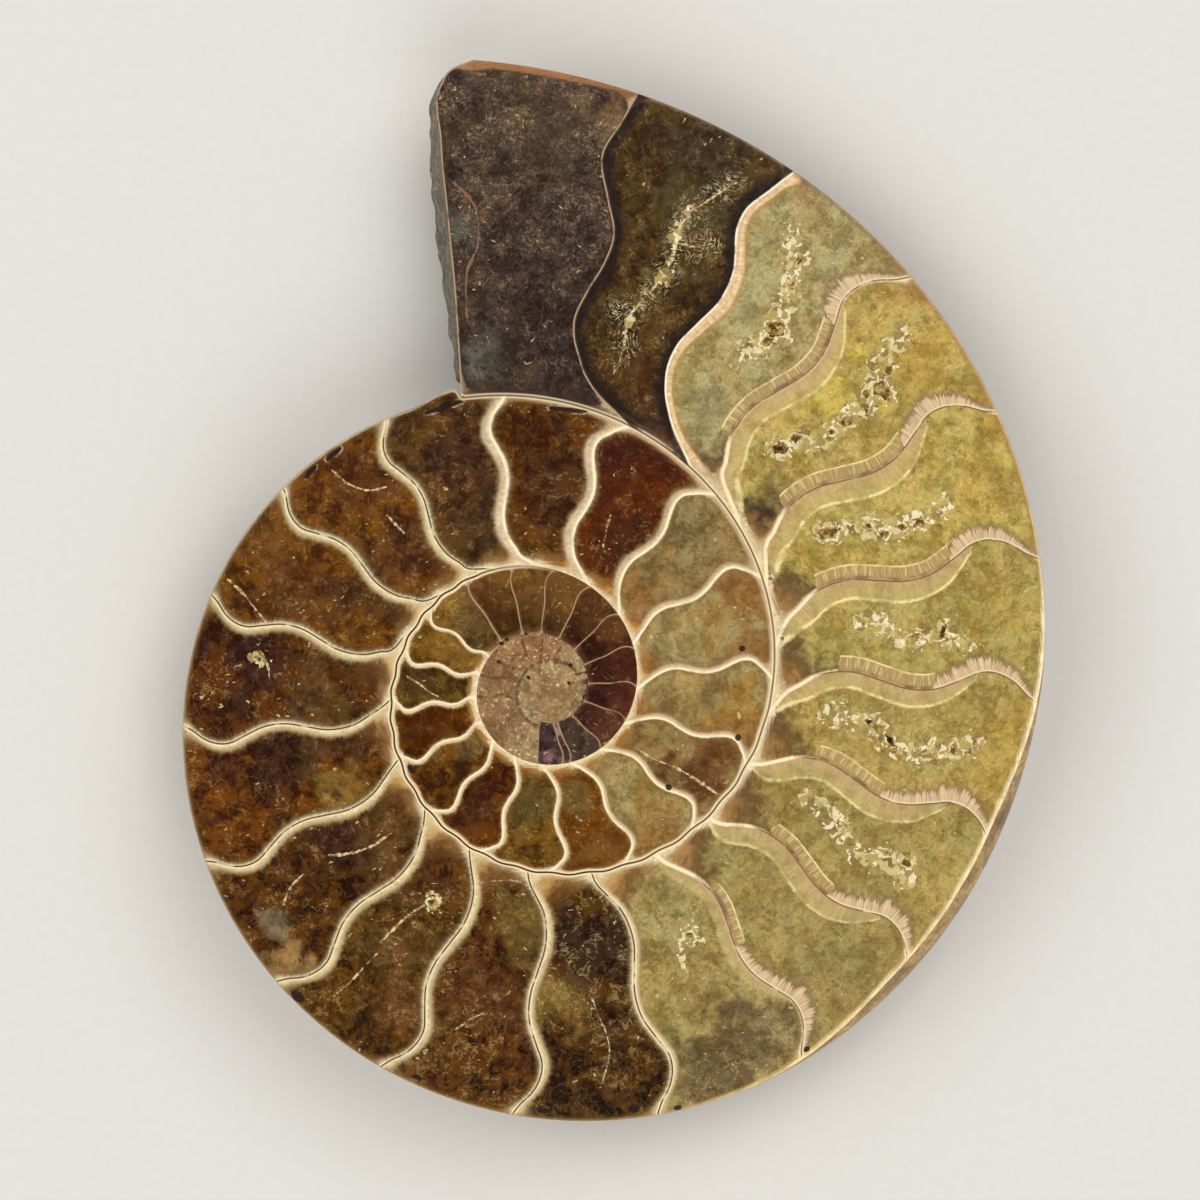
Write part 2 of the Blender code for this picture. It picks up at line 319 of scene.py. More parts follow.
# Thin cracks healed with pale calcite: places on the cut, and the width in mm.
CRACKS = [
    ([(1152.3, 0.73), (1153.2, 0.64), (1153.0, 0.56), (1153.3, 0.5)], 0.24),
    ([(1153.3, 0.5), (1154.2, 0.44), (1155.6, 0.37), (1156.6, 0.3), (1156.0, 0.2)], 0.16),
    ([(689.6, 0.95), (690.0, 0.8), (690.3, 0.62), (690.0, 0.5), (689.0, 0.4), (688.6, 0.2)], 0.13),
    ([(533.0, 0.92), (536.0, 0.75), (538.2, 0.65), (541.0, 0.55), (544.5, 0.43)], 0.13),
    ([(880.5, 0.95), (882.0, 0.85), (883.7, 0.78), (886.3, 0.68)], 0.14),
    ([(853.5, 0.92), (853.0, 0.8), (851.5, 0.72), (849.5, 0.68), (847.0, 0.66)], 0.12),
    ([(972.5, 0.12), (976.0, 0.085), (980.0, 0.065), (985.0, 0.06), (988.5, 0.08)], 0.10),
    ([(940.0, 0.77), (938.3, 0.7), (937.8, 0.6)], 0.14),
    ([(938.0, 0.48), (940.3, 0.41), (942.2, 0.33), (943.2, 0.27), (943.8, 0.19)], 0.2),
    ([(956.0, 0.87), (957.0, 0.77), (957.6, 0.68), (958.3, 0.6)], 0.1),
    ([(957.7, 0.56), (958.3, 0.5), (959.0, 0.44), (960.0, 0.38), (962.8, 0.28)], 0.16),
    ([(1180.0, 0.64), (1177.7, 0.56), (1177.9, 0.45), (1180.0, 0.36), (1181.2, 0.22)], 0.14),
    ([(895.6, 0.78), (894.8, 0.71)], 0.16),
    ([(851.2, 0.53), (851.1, 0.46), (850.8, 0.39)], 0.14),
    ([(1136.4, 0.47), (1137.8, 0.43), (1139.4, 0.41)], 0.24),
    ([(999.0, 0.85), (1001.0, 0.7), (1000.0, 0.55), (999.0, 0.45)], 0.08),
    ([(976.0, 0.72), (978.0, 0.66), (980.0, 0.62)], 0.1),
    ([(786.0, 0.25), (787.4, 0.35), (788.0, 0.45)], 0.06),
    ([(893.0, 0.66), (895.0, 0.62), (897.5, 0.6)], 0.1),
    ([(1149.0, 0.86), (1150.6, 0.79), (1152.3, 0.72)], 0.1),
    ([(1153.0, 0.6), (1150.5, 0.62), (1148.6, 0.66)], 0.14),
    ([(1155.6, 0.37), (1157.0, 0.36), (1158.4, 0.34)], 0.08),
]

# Black marks along the siphuncle, the thin tube that ran through every chamber: stained stone, and empty
# holes, which are drawn flat with painted shade for the dark inside them. Place on the cut, length along
# the whorl and width in mm.
SIPHUNCLE = [
    (571.5, 0.915, 0.9, 0.45),
    (682.9, 0.605, 0.55, 0.6),
    (706.5, 0.845, 0.6, 0.55),
    (731.6, 0.765, 0.5, 0.6),
    (804.4, 0.962, 3.8, 0.36),
    (828.6, 0.967, 3.9, 0.3),
    (851.2, 0.965, 1.9, 0.36),
    (856.4, 0.963, 1.6, 0.4),
    (951.7, 0.974, 1.6, 0.85),
    (972.4, 0.967, 1.1, 0.4),
    (990.5, 0.965, 1.2, 0.4),
    (1002.6, 0.96, 1.2, 0.7),
    (1008.3, 0.985, 0.9, 0.45),
    (1026.6, 0.962, 0.6, 0.5),
    (1061.0, 0.968, 0.7, 0.4),
    (1044.2, 0.962, 0.7, 0.4),
]
CORE_SPECKS = [(-3.85, 4.65, 0.45), (-4.1, 2.8, 0.3), (-1.15, 1.25, 0.4), (3.05, 2.5, 0.4)]
CORE_SPECKS += [(2.9, 0.7, 0.35), (-1.4, 5.6, 0.3), (-3.3, 5.05, 0.3)]

# Thin dark lines in the clay of the first whorl: places in mm from the middle of the coil. The
# longest is part of a ring, the wall of a whorl inside the core.
RING_MIDDLE, RING_RADIUS = (1.1, -0.5), 3.45
CORE_LINES = [
    [(-1.77, 4.98), (-1.43, 3.84), (-1.3, 3.17)],
    [(0.24, 5.05), (0.17, 3.98), (-0.03, 2.77)],
    [(2.05, 4.38), (1.65, 3.17), (1.51, 2.37)],
    [(-4.6, 3.0), (-3.4, 2.5), (-2.6, 2.1)],
    [(-5.9, 1.4), (-4.6, 1.2), (-3.1, 1.3)],
    [(-6.3, -0.6), (-5.0, -0.9), (-3.9, -0.4), (-2.6, -0.9)],
]
ring_angles = np.arange(12, 96) / 20
ring_x, ring_y = RING_RADIUS * np.cos(ring_angles), RING_RADIUS * np.sin(ring_angles)
CORE_LINES += [list(zip(RING_MIDDLE[0] + ring_x, RING_MIDDLE[1] + ring_y))]

rng = np.random.default_rng(11)


def angular_loop(x, y, size_x, size_y, slant, corners, step):
    """A closed, flat-sided outline, as between crystals."""
    angles = (np.arange(corners) + rng.uniform(-0.28, 0.28, corners)) * 2 * np.pi / corners
    radii = rng.uniform(0.62, 1.3, corners)
    around = np.stack([size_x / 2 * radii * np.cos(angles), size_y / 2 * radii * np.sin(angles)], -1)
    c, s = math.cos(math.radians(slant)), math.sin(math.radians(slant))
    around = around @ np.array([[c, s], [-s, c]]) + (x, y)
    return spaced(np.vstack([around, around[:1]]), step)[:-1]


def oval_loop(x, y, size_x, size_y, slant, count=14):
    angles = np.linspace(0, 2 * np.pi, count, endpoint=False)
    radii = rng.uniform(0.9, 1.08, count)
    around = np.stack([size_x / 2 * radii * np.cos(angles), size_y / 2 * radii * np.sin(angles)], -1)
    c, s = math.cos(math.radians(slant)), math.sin(math.radians(slant))
    return around @ np.array([[c, s], [-s, c]]) + (x, y)


drop = [0.0] * len(plan)
edges = []
hollow_loops = []
for x, y, size_x, size_y, deep, slant, _ in HOLLOWS:
    corners = 11 if max(size_x, size_y) > 1.2 else 8
    loop = angular_loop(x, y, size_x, size_y, slant, corners, HOLLOW_STEP)
    hollow_loops.append(loop)
    first, count = len(plan), len(loop)
    plan += [tuple(p) for p in loop]
    drop += [0.0] * count
    edges += [(first + i, first + (i + 1) % count) for i in range(count)]
    for scale, sunk in HOLLOW_RINGS:
        ring = (x, y) + (loop - (x, y)) * scale
        ring = ring[:: 1 if scale > 0.7 else 2 if scale > 0.4 else 3]
        ring = ring + rng.uniform(-0.05, 0.05, ring.shape)
        plan += [tuple(p) for p in ring]
        drop += list(deep * sunk * rng.uniform(0.7, 1.1, len(ring)))

stain_loops = []
for turn, across, length, width in SIPHUNCLE:
    x, y = spot(turn, across)
    stain_loops.append(oval_loop(x, y, length, width, turn - 90.0))
for x, y, size in CORE_SPECKS:
    stain_loops.append(oval_loop(x, y, size, size * 0.8, 50.0 * x, 9))
for loop in stain_loops:
    away = np.hypot(*loop.T) - edge_radius(turn_and_across(loop, 1000.0)[0])
    if away.max() < -0.1 or np.hypot(*loop.T).max() < 33.0:
        first, count = len(plan), len(loop)
        plan += [tuple(p) for p in loop]
        edges += [(first + i, first + (i + 1) % count) for i in range(count)]

crack_lines = []
for knots, width in CRACKS:
    ends = np.linspace(0, 1, len(knots))
    t = np.linspace(0, 1, 120)
    turns = through(tuple(zip(ends, [k[0] for k in knots])), t)
    across = through(tuple(zip(ends, [k[1] for k in knots])), t)
    line = spaced(spot(turns, across), CRACK_STEP)
    crack_lines.append(line)
    first, count = len(plan), len(line)
    plan += [tuple(p) for p in line]
    edges += [(first + i, first + i + 1) for i in range(count - 1)]
drop += [0.0] * (len(plan) - len(drop))


def nearest(points, line, closed=False):
    """Distance in mm of each point from a line, and how far along the line its nearest place is."""
    if closed:
        line = np.vstack([line, line[:1]])
    starts, runs = line[:-1], np.diff(line, axis=0)
    lengths = np.hypot(*runs.T)
    before = np.concatenate([[0], np.cumsum(lengths)[:-1]])
    away = points[:, None, :] - starts[None]
    share = np.clip((away * runs).sum(-1) / np.maximum(lengths**2, 1e-12), 0, 1)
    away -= share[..., None] * runs
    distance = np.sqrt((away**2).sum(-1))
    best = distance.argmin(1)
    row = np.arange(len(points))
    return distance[row, best], before[best] + share[row, best] * lengths[best]


def inside(points, loop):
    """Which points lie inside a closed outline."""
    x, y = points.T
    within = np.zeros(len(points), bool)
    for (x1, y1), (x2, y2) in zip(loop, np.roll(loop, -1, axis=0)):
        if y1 != y2:
            crosses = ((y1 > y) != (y2 > y)) & (x < (x2 - x1) * (y - y1) / (y2 - y1) + x1)
            within ^= crosses
    return within


# Points over the whole cut, in staggered rows, kept off every line.
outline_ids = list(range(wall_index(LAST_WHORL_START - 0.5), wall_index(break_turns[-1]) + 1))
outline_ids += line_ids[-1][-2:0:-1]
plan_array = np.array(plan)
rim = plan_array[outline_ids]
low, high = rim.min(0), rim.max(0)
rows = np.arange(low[1], high[1], ROW_STEP)
columns = np.arange(low[0], high[0], GRAIN_STEP)
grid = np.stack(np.meshgrid(columns, rows), -1)
grid[1::2, :, 0] += GRAIN_STEP / 2
grid = grid.reshape(-1, 2) + rng.uniform(-0.06, 0.06, (grid.size // 2, 2))
grid = grid[inside(grid, rim)]
for loop in hollow_loops:
    near = np.hypot(*(grid - loop.mean(0)).T) < 3.0
    near[near] = inside(grid[near], loop)
    grid = grid[~near]
taken = kdtree.KDTree(len(plan))
for index, (x, y) in enumerate(plan):
    taken.insert((x, y, 0.0), index)
taken.balance()
plan += [tuple(p) for p in grid if taken.find((*p, 0.0))[2] >= LEAST_GAP]
drop += [0.0] * (len(plan) - len(drop))

cut = geometry.delaunay_2d_cdt(
    [Vector(p) for p in plan], edges, outlines + [core_outline], 1, 1e-5, True
)
cut_points = np.array([tuple(v) for v in cut[0]])
cut_faces = np.array(cut[2])
cut_regions = np.array([min(owners) if owners else -1 for owners in cut[5]])
within = (cut_regions >= 0) | inside(cut_points[cut_faces].mean(1), rim)
cut_faces, cut_regions = cut_faces[within], cut_regions[within]
cut_drop = np.array([drop[owners[0]] if owners else 0.0 for owners in cut[3]])

# ------------------------------------------------------------------------------------------
# THE LININGS AND FILLINGS. Pale fibrous calcite grew in from every wall first; then clear brown
# or olive calcite filled what was left. Every corner of the mesh is told how far it lies from
# the walls round it, and the materials turn that into bands, fur, ticks and grain.
# ------------------------------------------------------------------------------------------
# Widths in mm, by the septum's turn angle, on its younger side, on its older side, and along the
# inner and the outer wall; then how each varies across the whorl.
CREAM_AFTER = ((268, 0.04), (486, 0.05), (506, 0.22), (600, 0.34), (640, 0.36), (681, 0.4))
CREAM_AFTER += ((726, 0.46), (750, 0.5), (772, 0.6), (795, 0.8), (818, 0.8), (841, 0.62))
CREAM_AFTER += ((885, 0.6), (988, 0.6), (1007, 0.5), (1027, 0.2), (1129, 0.2), (1145, 0.0))
CREAM_AFTER += ((1185, 0.0),)
CREAM_BEFORE = ((268, 0.04), (486, 0.05), (506, 0.1), (600, 0.12), (726, 0.1), (795, 0.14))
CREAM_BEFORE += ((841, 0.22), (988, 0.26), (1007, 0.3), (1027, 0.12), (1129, 0.12))
CREAM_BEFORE += ((1138, 0.8), (1145, 0.95), (1155, 0.3), (1161, 0.06), (1185, 0.0))
AFTER_SHAPE = ((1, 0.5), (0.93, 0.7), (0.8, 1.1), (0.6, 0.95), (0.5, 0.9), (0.4, 1.0))
AFTER_SHAPE += ((0.25, 1.15), (0.12, 1.0), (0, 0.6))
BEFORE_SHAPE = ((1, 0.7), (0.8, 0.8), (0.6, 1.1), (0.5, 1.2), (0.4, 1.0), (0.25, 0.7), (0, 0.6))
INNER_LINING = ((268, 0.03), (440, 0.04), (495, 0.1), (520, 0.38), (600, 0.4), (700, 0.36))
INNER_LINING += ((825, 0.32), (1000, 0.34), (1030, 0.46), (1120, 0.42), (1140, 0.3), (1150, 0.1))
INNER_LINING += ((1185, 0.1),)
OUTER_LINING = ((268, 0.08), (440, 0.08), (480, 0.3), (700, 0.36), (730, 0.46), (795, 0.5))
OUTER_LINING += ((815, 0.4), (826, 0.12), (860, 0.1), (900, 0.08), (1000, 0.08), (1030, 0.2))
OUTER_LINING += ((1120, 0.2), (1145, 0.1), (1158, 0.1), (1165, 0.5), (1185, 0.5))
CORNER = 1.6  # how far the fillings' corners are rounded off, against the whorl's height of 20
SOFTNESS = ((268, 0.05), (500, 0.07), (640, 0.09), (795, 0.15), (841, 0.23), (1000, 0.23))
SOFTNESS += ((1027, 0.16), (1135, 0.16), (1145, 0.12), (1185, 0.12))

# Colours of the linings and of the glow beyond them, by turn angle.
TONE_AFTER = ((268, 150, 124, 104), (486, 165, 138, 112), (506, 214, 188, 148))
TONE_AFTER += ((600, 206, 178, 136), (700, 196, 166, 124), (772, 198, 172, 132))
TONE_AFTER += ((795, 204, 180, 144), (818, 206, 184, 148), (841, 212, 190, 144))
TONE_AFTER += ((1007, 216, 192, 144), (1027, 206, 180, 140), (1185, 190, 160, 120))
TONE_BEFORE = ((268, 150, 124, 104), (486, 165, 138, 112), (506, 214, 188, 148))
TONE_BEFORE += ((600, 200, 172, 130), (700, 190, 160, 116), (818, 196, 170, 128))
TONE_BEFORE += ((841, 214, 194, 150), (1007, 222, 202, 156), (1027, 222, 200, 148))
TONE_BEFORE += ((1129, 222, 200, 150), (1145, 222, 188, 142), (1155, 222, 188, 142))
TONE_BEFORE += ((1161, 150, 120, 92),)
TONE_INNER = ((268, 104, 76, 62), (440, 140, 102, 70), (495, 200, 168, 124), (520, 236, 214, 170))
TONE_INNER += ((800, 232, 208, 162), (1000, 232, 208, 160), (1030, 242, 220, 174))
TONE_INNER += ((1130, 222, 196, 152), (1145, 130, 104, 78), (1185, 96, 80, 68))
TONE_OUTER = ((268, 58, 38, 30), (440, 64, 44, 32), (480, 224, 200, 158), (715, 220, 194, 150))
TONE_OUTER += ((735, 200, 170, 130), (795, 200, 170, 130), (826, 150, 120, 82))
TONE_OUTER += ((1000, 150, 118, 74), (1030, 190, 150, 84), (1120, 176, 136, 80))
TONE_OUTER += ((1145, 110, 88, 64), (1158, 104, 82, 60), (1165, 150, 104, 70), (1185, 158, 110, 74))
GLOW_AFTER = ((268, 90, 60, 48), (450, 120, 84, 50), (600, 140, 104, 60), (795, 140, 108, 74))
GLOW_AFTER += ((841, 140, 112, 70), (1007, 142, 116, 70), (1027, 130, 104, 60))
GLOW_AFTER += ((1130, 130, 104, 60), (1145, 38, 31, 27), (1185, 52, 44, 42))
GLOW_BEFORE = ((268, 90, 60, 48), (450, 110, 76, 46), (700, 130, 100, 58), (795, 124, 100, 68))
GLOW_BEFORE += ((841, 116, 96, 66), (1007, 122, 100, 66), (1027, 150, 128, 76))
GLOW_BEFORE += ((1136, 160, 128, 66), (1145, 168, 132, 70), (1155, 38, 31, 27), (1185, 56, 48, 44))
GLOW_INNER = ((268, 62, 38, 36), (440, 90, 54, 36), (495, 130, 90, 48), (520, 176, 130, 68))
GLOW_INNER += ((800, 176, 132, 70), (850, 164, 124, 74), (1000, 160, 122, 72))
GLOW_INNER += ((1030, 158, 120, 66), (1130, 140, 108, 62), (1145, 60, 36, 24), (1185, 60, 52, 48))
GLOW_OUTER = ((268, 96, 56, 30), (440, 130, 84, 38), (480, 150, 104, 48), (795, 136, 96, 52))
GLOW_OUTER += ((826, 112, 84, 52), (1000, 124, 94, 54), (1030, 172, 136, 62))
GLOW_OUTER += ((1120, 156, 114, 60), (1145, 50, 36, 28), (1185, 100, 78, 62))
# How strong the glow is, how far it reaches and how ragged the lining's edge is, for the younger
# side of a septum, its older side, the inner wall and the outer wall.
GLOW_SHARES = (0.75, 0.85, 0.95, 0.45)
GLOW_REACHES = (0.5, 0.6, 1.7, 0.55)
RAGGED = (0.16, 0.14, 1.0, 0.25)
# The warm wedge in the corner between a septum's younger side and the inner wall: how far it
# reaches in mm, its colour, and the colour of the smoky calcite beyond it.
WEDGE_REACH = ((268, 0.4), (480, 0.5), (520, 1.6), (640, 2.6), (800, 3.4), (860, 4.4), (1000, 5.4))
WEDGE_REACH += ((1030, 7.0), (1125, 7.0), (1135, 3.0), (1145, 3.4), (1155, 0.5), (1185, 0.5))
WEDGE_TONE = ((268, 96, 60, 40), (480, 120, 80, 44), (520, 200, 146, 66), (800, 200, 146, 66))
WEDGE_TONE += ((860, 196, 156, 98), (1000, 194, 150, 88), (1030, 152, 114, 68), (1125, 146, 108, 64))
WEDGE_TONE += ((1145, 150, 86, 34), (1185, 60, 48, 42))
SMOKE_TONE = ((268, 70, 40, 30), (480, 84, 50, 30), (520, 150, 96, 40), (800, 130, 84, 42))
SMOKE_TONE += ((860, 96, 66, 40), (1000, 112, 74, 38), (1030, 84, 62, 40), (1185, 60, 48, 42))

# Bands beside the septa of the olive chambers: where the outer one starts and ends across the
# whorl, its width, the width of the one on the older side, and how bright that one's edge is.
BANDS = {
    1129.8: (0.17, 0.69, 1.3, 1.8, 0.8),
    1113.0: (0.17, 0.65, 1.5, 2.0, 1.0),
    1096.4: (0.18, 0.68, 1.55, 1.9, 1.0),
    1080.0: (0.24, 0.6, 1.6, 1.6, 0.9),
    1062.4: (0.22, 0.51, 1.5, 1.9, 0.8),
    1044.3: (0.22, 0.55, 1.4, 1.8, 0.7),
    1026.8: (0.22, 0.48, 1.15, 1.2, 0.15),
}
BAND_REACH = (0.03, 0.76)  # the older side's band, across the whorl
BAND_SHAPE = ((0.03, 0.3), (0.1, 0.85), (0.3, 1.0), (0.6, 1.0), (0.68, 0.8), (0.75, 0.35))
FUR = ((0.5, 1.2), (0.66, 1.8), (0.72, 2.1), (0.8, 2.1), (0.88, 1.5), (0.97, 0.4))
# There each septum's foot is a thicker, brighter bar.
FIRST_BANDED, LAST_BANDED = 1020.0, 1135.0
FOOT_TOP = 0.2
FOOT_WIDENING = 0.1
FOOT_TONE = (0, 240, 220, 176)


def rounded_least(values, reach):
    """The least of several distances, with the corners between them rounded off."""
    least = values[0]
    for other in values[1:]:
        h = np.maximum(reach - np.abs(least - other), 0) / reach
        least = np.minimum(least, other) - h * h * reach / 4
    return least


def tinted(red, green, blue):
    """A colour as the eye reads it, 0 to 255, turned into the shader's linear values."""
    return tuple((c / 255.0) ** 2.2 for c in (red, green, blue))


# Each chamber from the first to the mouth: its filling, and the colour of the lighter grains.
FILLINGS = [
    ((42, 29, 30), (88, 68, 68), 0.5, 0.4),
    ((44, 30, 28), (82, 66, 58), 0.5, 0.3),
    ((48, 32, 26), (90, 74, 62), 0.5, 0.4),
    ((58, 32, 24), (94, 58, 40), 0.5, 0.2),
    ((62, 30, 22), (96, 54, 36), 0.5, 0.1),
    ((58, 28, 20), (90, 50, 32), 0.5, 0.1),
    ((56, 30, 20), (88, 52, 32), 0.5, 0.1),
    ((60, 36, 22), (100, 64, 36), 0.5, 0.1),
    ((66, 42, 22), (110, 76, 38), 0.5, 0.1),
    ((76, 50, 24), (122, 88, 42), 0.5, 0.1),
    ((72, 46, 24), (116, 82, 40), 0.5, 0.1),
    ((66, 45, 20), (124, 93, 42), 0.8, 0.4),
    ((76, 48, 16), (128, 93, 32), 0.8, 0.2),
    ((60, 39, 15), (116, 86, 31), 0.7, 0.2),
    ((62, 31, 7), (114, 68, 17), 0.6, 0.1),
    ((56, 31, 11), (118, 76, 23), 0.8, 0.2),
    ((54, 25, 9), (106, 61, 19), 0.8, 0.2),
    ((66, 41, 13), (120, 87, 31), 0.8, 0.3),
    ((84, 47, 13), (126, 76, 21), 0.6, 0.2),
    ((117, 97, 58), (160, 142, 93), 0.9, 0.5),
    ((101, 79, 46), (144, 120, 75), 0.9, 0.4),
    ((115, 93, 56), (156, 136, 89), 0.9, 0.3),
    ((115, 97, 60), (162, 144, 97), 0.9, 0.3),
    ((103, 83, 50), (148, 126, 83), 0.9, 0.3),
    ((69, 32, 14), (108, 57, 22), 0.5, 0.3),
    ((55, 29, 12), (105, 66, 26), 0.8, 0.3),
    ((49, 31, 17), (99, 67, 33), 0.8, 0.3),
    ((62, 34, 12), (119, 75, 27), 0.9, 0.3),
    ((60, 33, 11), (112, 71, 24), 0.9, 0.3),
    ((48, 23, 9), (94, 53, 18), 0.9, 0.4),
    ((52, 23, 6), (110, 65, 20), 0.9, 0.4),
    ((41, 20, 8), (93, 57, 20), 1.0, 0.5),
    ((46, 27, 9), (98, 65, 24), 1.0, 0.55),
    ((41, 20, 9), (93, 57, 21), 1.0, 0.6),
    ((35, 20, 9), (83, 54, 22), 1.0, 0.7),
    ((124, 104, 58), (166, 148, 97), 0.9, 0.7),
    ((127, 106, 58), (161, 142, 89), 0.9, 0.6),
    ((129, 110, 60), (165, 146, 89), 0.9, 0.6),
    ((140, 118, 62), (178, 156, 93), 0.9, 0.6),
    ((140, 120, 62), (178, 158, 93), 0.9, 0.6),
    ((147, 125, 63), (191, 168, 96), 0.9, 0.6),
    ((143, 121, 61), (189, 166, 98), 0.9, 0.6),
    ((134, 116, 72), (174, 158, 111), 0.9, 0.7),
    ((50, 32, 16), (94, 70, 36), 0.8, 0.4),
    ((48, 36, 32), (80, 64, 56), 0.9, 0.4),
    ((128, 101, 69), (170, 142, 104), 0.8, 0.6),
]

# Larger patches of another tint: place on the cut, reach in mm, colour and strength.
CLOUDS = [
    (668, 0.85, 3.8, (124, 80, 36), 0.85),
    (690, 0.82, 3.0, (118, 78, 36), 0.6),
    (708, 0.84, 3.4, (128, 86, 40), 0.75),
    (728, 0.85, 3.8, (128, 84, 38), 0.85),
    (724, 0.42, 2.6, (164, 136, 84), 0.5),
    (739, 0.45, 2.8, (168, 140, 86), 0.5),
    (748, 0.85, 3.8, (122, 80, 38), 0.85),
    (1015.5, 0.86, 5.6, (84, 64, 42), 0.85),
    (1022, 0.86, 4.4, (100, 80, 54), 0.75),
    (1008, 0.55, 4.0, (148, 132, 70), 0.5),
    (992.5, 0.5, 3.4, (126, 100, 46), 0.7),
    (1000, 0.3, 5.0, (40, 24, 18), 0.7),
    (980, 0.55, 4.6, (84, 50, 26), 0.6),
    (987, 0.22, 4.0, (104, 82, 38), 0.7),
    (972, 0.8, 4.0, (92, 66, 30), 0.5),
    (961, 0.55, 5.0, (88, 62, 26), 0.6),
    (956, 0.22, 4.0, (66, 34, 16), 0.6),
    (966, 0.75, 4.0, (98, 60, 28), 0.5),
    (947, 0.93, 2.4, (140, 108, 66), 0.85),
    (942, 0.85, 1.6, (116, 106, 84), 0.5),
    (936, 0.4, 5.0, (46, 24, 16), 0.7),
    (943, 0.2, 3.5, (92, 66, 30), 0.6),
    (925, 0.3, 3.2, (124, 92, 38), 0.8),
    (915, 0.55, 5.0, (42, 22, 18), 0.7),
    (913, 0.25, 4.0, (72, 48, 22), 0.6),
    (903, 0.35, 4.5, (86, 60, 26), 0.8),
    (893, 0.68, 4.5, (52, 26, 20), 0.8),
    (890, 0.2, 3.5, (74, 52, 24), 0.6),
    (878, 0.62, 4.0, (76, 44, 20), 0.6),
    (870, 0.3, 4.0, (60, 38, 22), 0.6),
    (872, 0.9, 3.0, (106, 70, 32), 0.6),
    (853, 0.3, 4.5, (58, 36, 24), 0.6),
    (848, 0.75, 4.0, (70, 36, 20), 0.5),
    (830, 0.7, 4.0, (52, 30, 24), 0.6),
    (829, 0.25, 3.5, (64, 46, 30), 0.5),
    (806, 0.5, 4.0, (52, 32, 24), 0.5),
    (790, 0.8, 3.5, (62, 28, 18), 0.7),
    (781, 0.3, 3.0, (56, 30, 20), 0.5),
    (768, 0.52, 1.0, (150, 104, 54), 0.5),
    (764, 0.2, 2.4, (132, 86, 40), 0.6),
    (742, 0.6, 3.0, (140, 114, 64), 0.5),
    (716, 0.75, 2.6, (150, 112, 52), 0.6),
    (700, 0.8, 3.4, (98, 60, 30), 0.7),
    (686, 0.7, 3.0, (74, 42, 20), 0.7),
    (670, 0.7, 3.0, (150, 124, 70), 0.5),
    (652, 0.8, 2.0, (118, 80, 38), 0.6),
    (648, 0.3, 2.5, (104, 84, 42), 0.7),
    (626, 0.4, 2.5, (92, 78, 42), 0.7),
    (602, 0.6, 2.6, (60, 34, 18), 0.6),
    (578, 0.25, 2.0, (98, 80, 48), 0.6),
    (556, 0.6, 2.6, (80, 40, 12), 0.6),
    (536, 0.7, 2.4, (60, 40, 22), 0.6),
    (518, 0.25, 2.2, (128, 92, 38), 0.6),
    (494, 0.5, 2.4, (88, 66, 38), 0.7),
    (277, 0.84, 0.7, (146, 104, 112), 0.8),
    (400, 0.85, 2.4, (100, 64, 30), 0.6),
    (430, 0.8, 2.6, (112, 76, 34), 0.6),
    (350, 0.2, 2.0, (52, 22, 22), 0.7),
    (1126.4, 0.97, 2.0, (150, 112, 62), 0.7),
    (1110.5, 0.96, 2.6, (160, 124, 54), 0.7),
    (1141.5, 0.95, 2.0, (140, 110, 70), 0.7),
    (1121, 0.84, 5.0, (170, 140, 62), 0.5),
    (1126, 0.55, 3.0, (180, 160, 66), 0.5),
    (1105, 0.88, 5.0, (162, 134, 62), 0.5),
    (1089, 0.9, 4.0, (160, 132, 62), 0.45),
    (1071, 0.9, 5.0, (166, 138, 66), 0.45),
    (1053, 0.88, 5.0, (164, 136, 76), 0.5),
    (1036, 0.8, 5.0, (136, 116, 70), 0.6),
    (1143, 0.6, 6.0, (150, 140, 96), 0.4),
    (1140, 0.2, 3.0, (150, 142, 104), 0.4),
    (1150.5, 0.12, 3.4, (74, 46, 22), 0.8),
    (1142.5, 0.05, 1.6, (170, 96, 34), 0.9),
    (1153, 0.85, 6.0, (54, 42, 28), 0.8),
    (1154, 0.7, 4.0, (78, 66, 36), 0.6),
    (1162, 0.92, 3.4, (112, 84, 58), 0.85),
    (1180, 0.5, 2.2, (78, 78, 70), 0.8),
    (1180, 0.1, 3.0, (82, 78, 68), 0.8),
    (1170, 0.85, 7.0, (80, 64, 50), 0.6),
    (1166, 0.25, 7.0, (44, 32, 30), 0.8),
]
CLOUDS += [(1117.4, 0.1, 2.2, (34, 32, 34), 1.0), (1119.5, 0.2, 2.2, (120, 104, 66), 0.6)]
CLOUD_END = 1.9  # how far a patch's ragged edge is looked for, over its reach

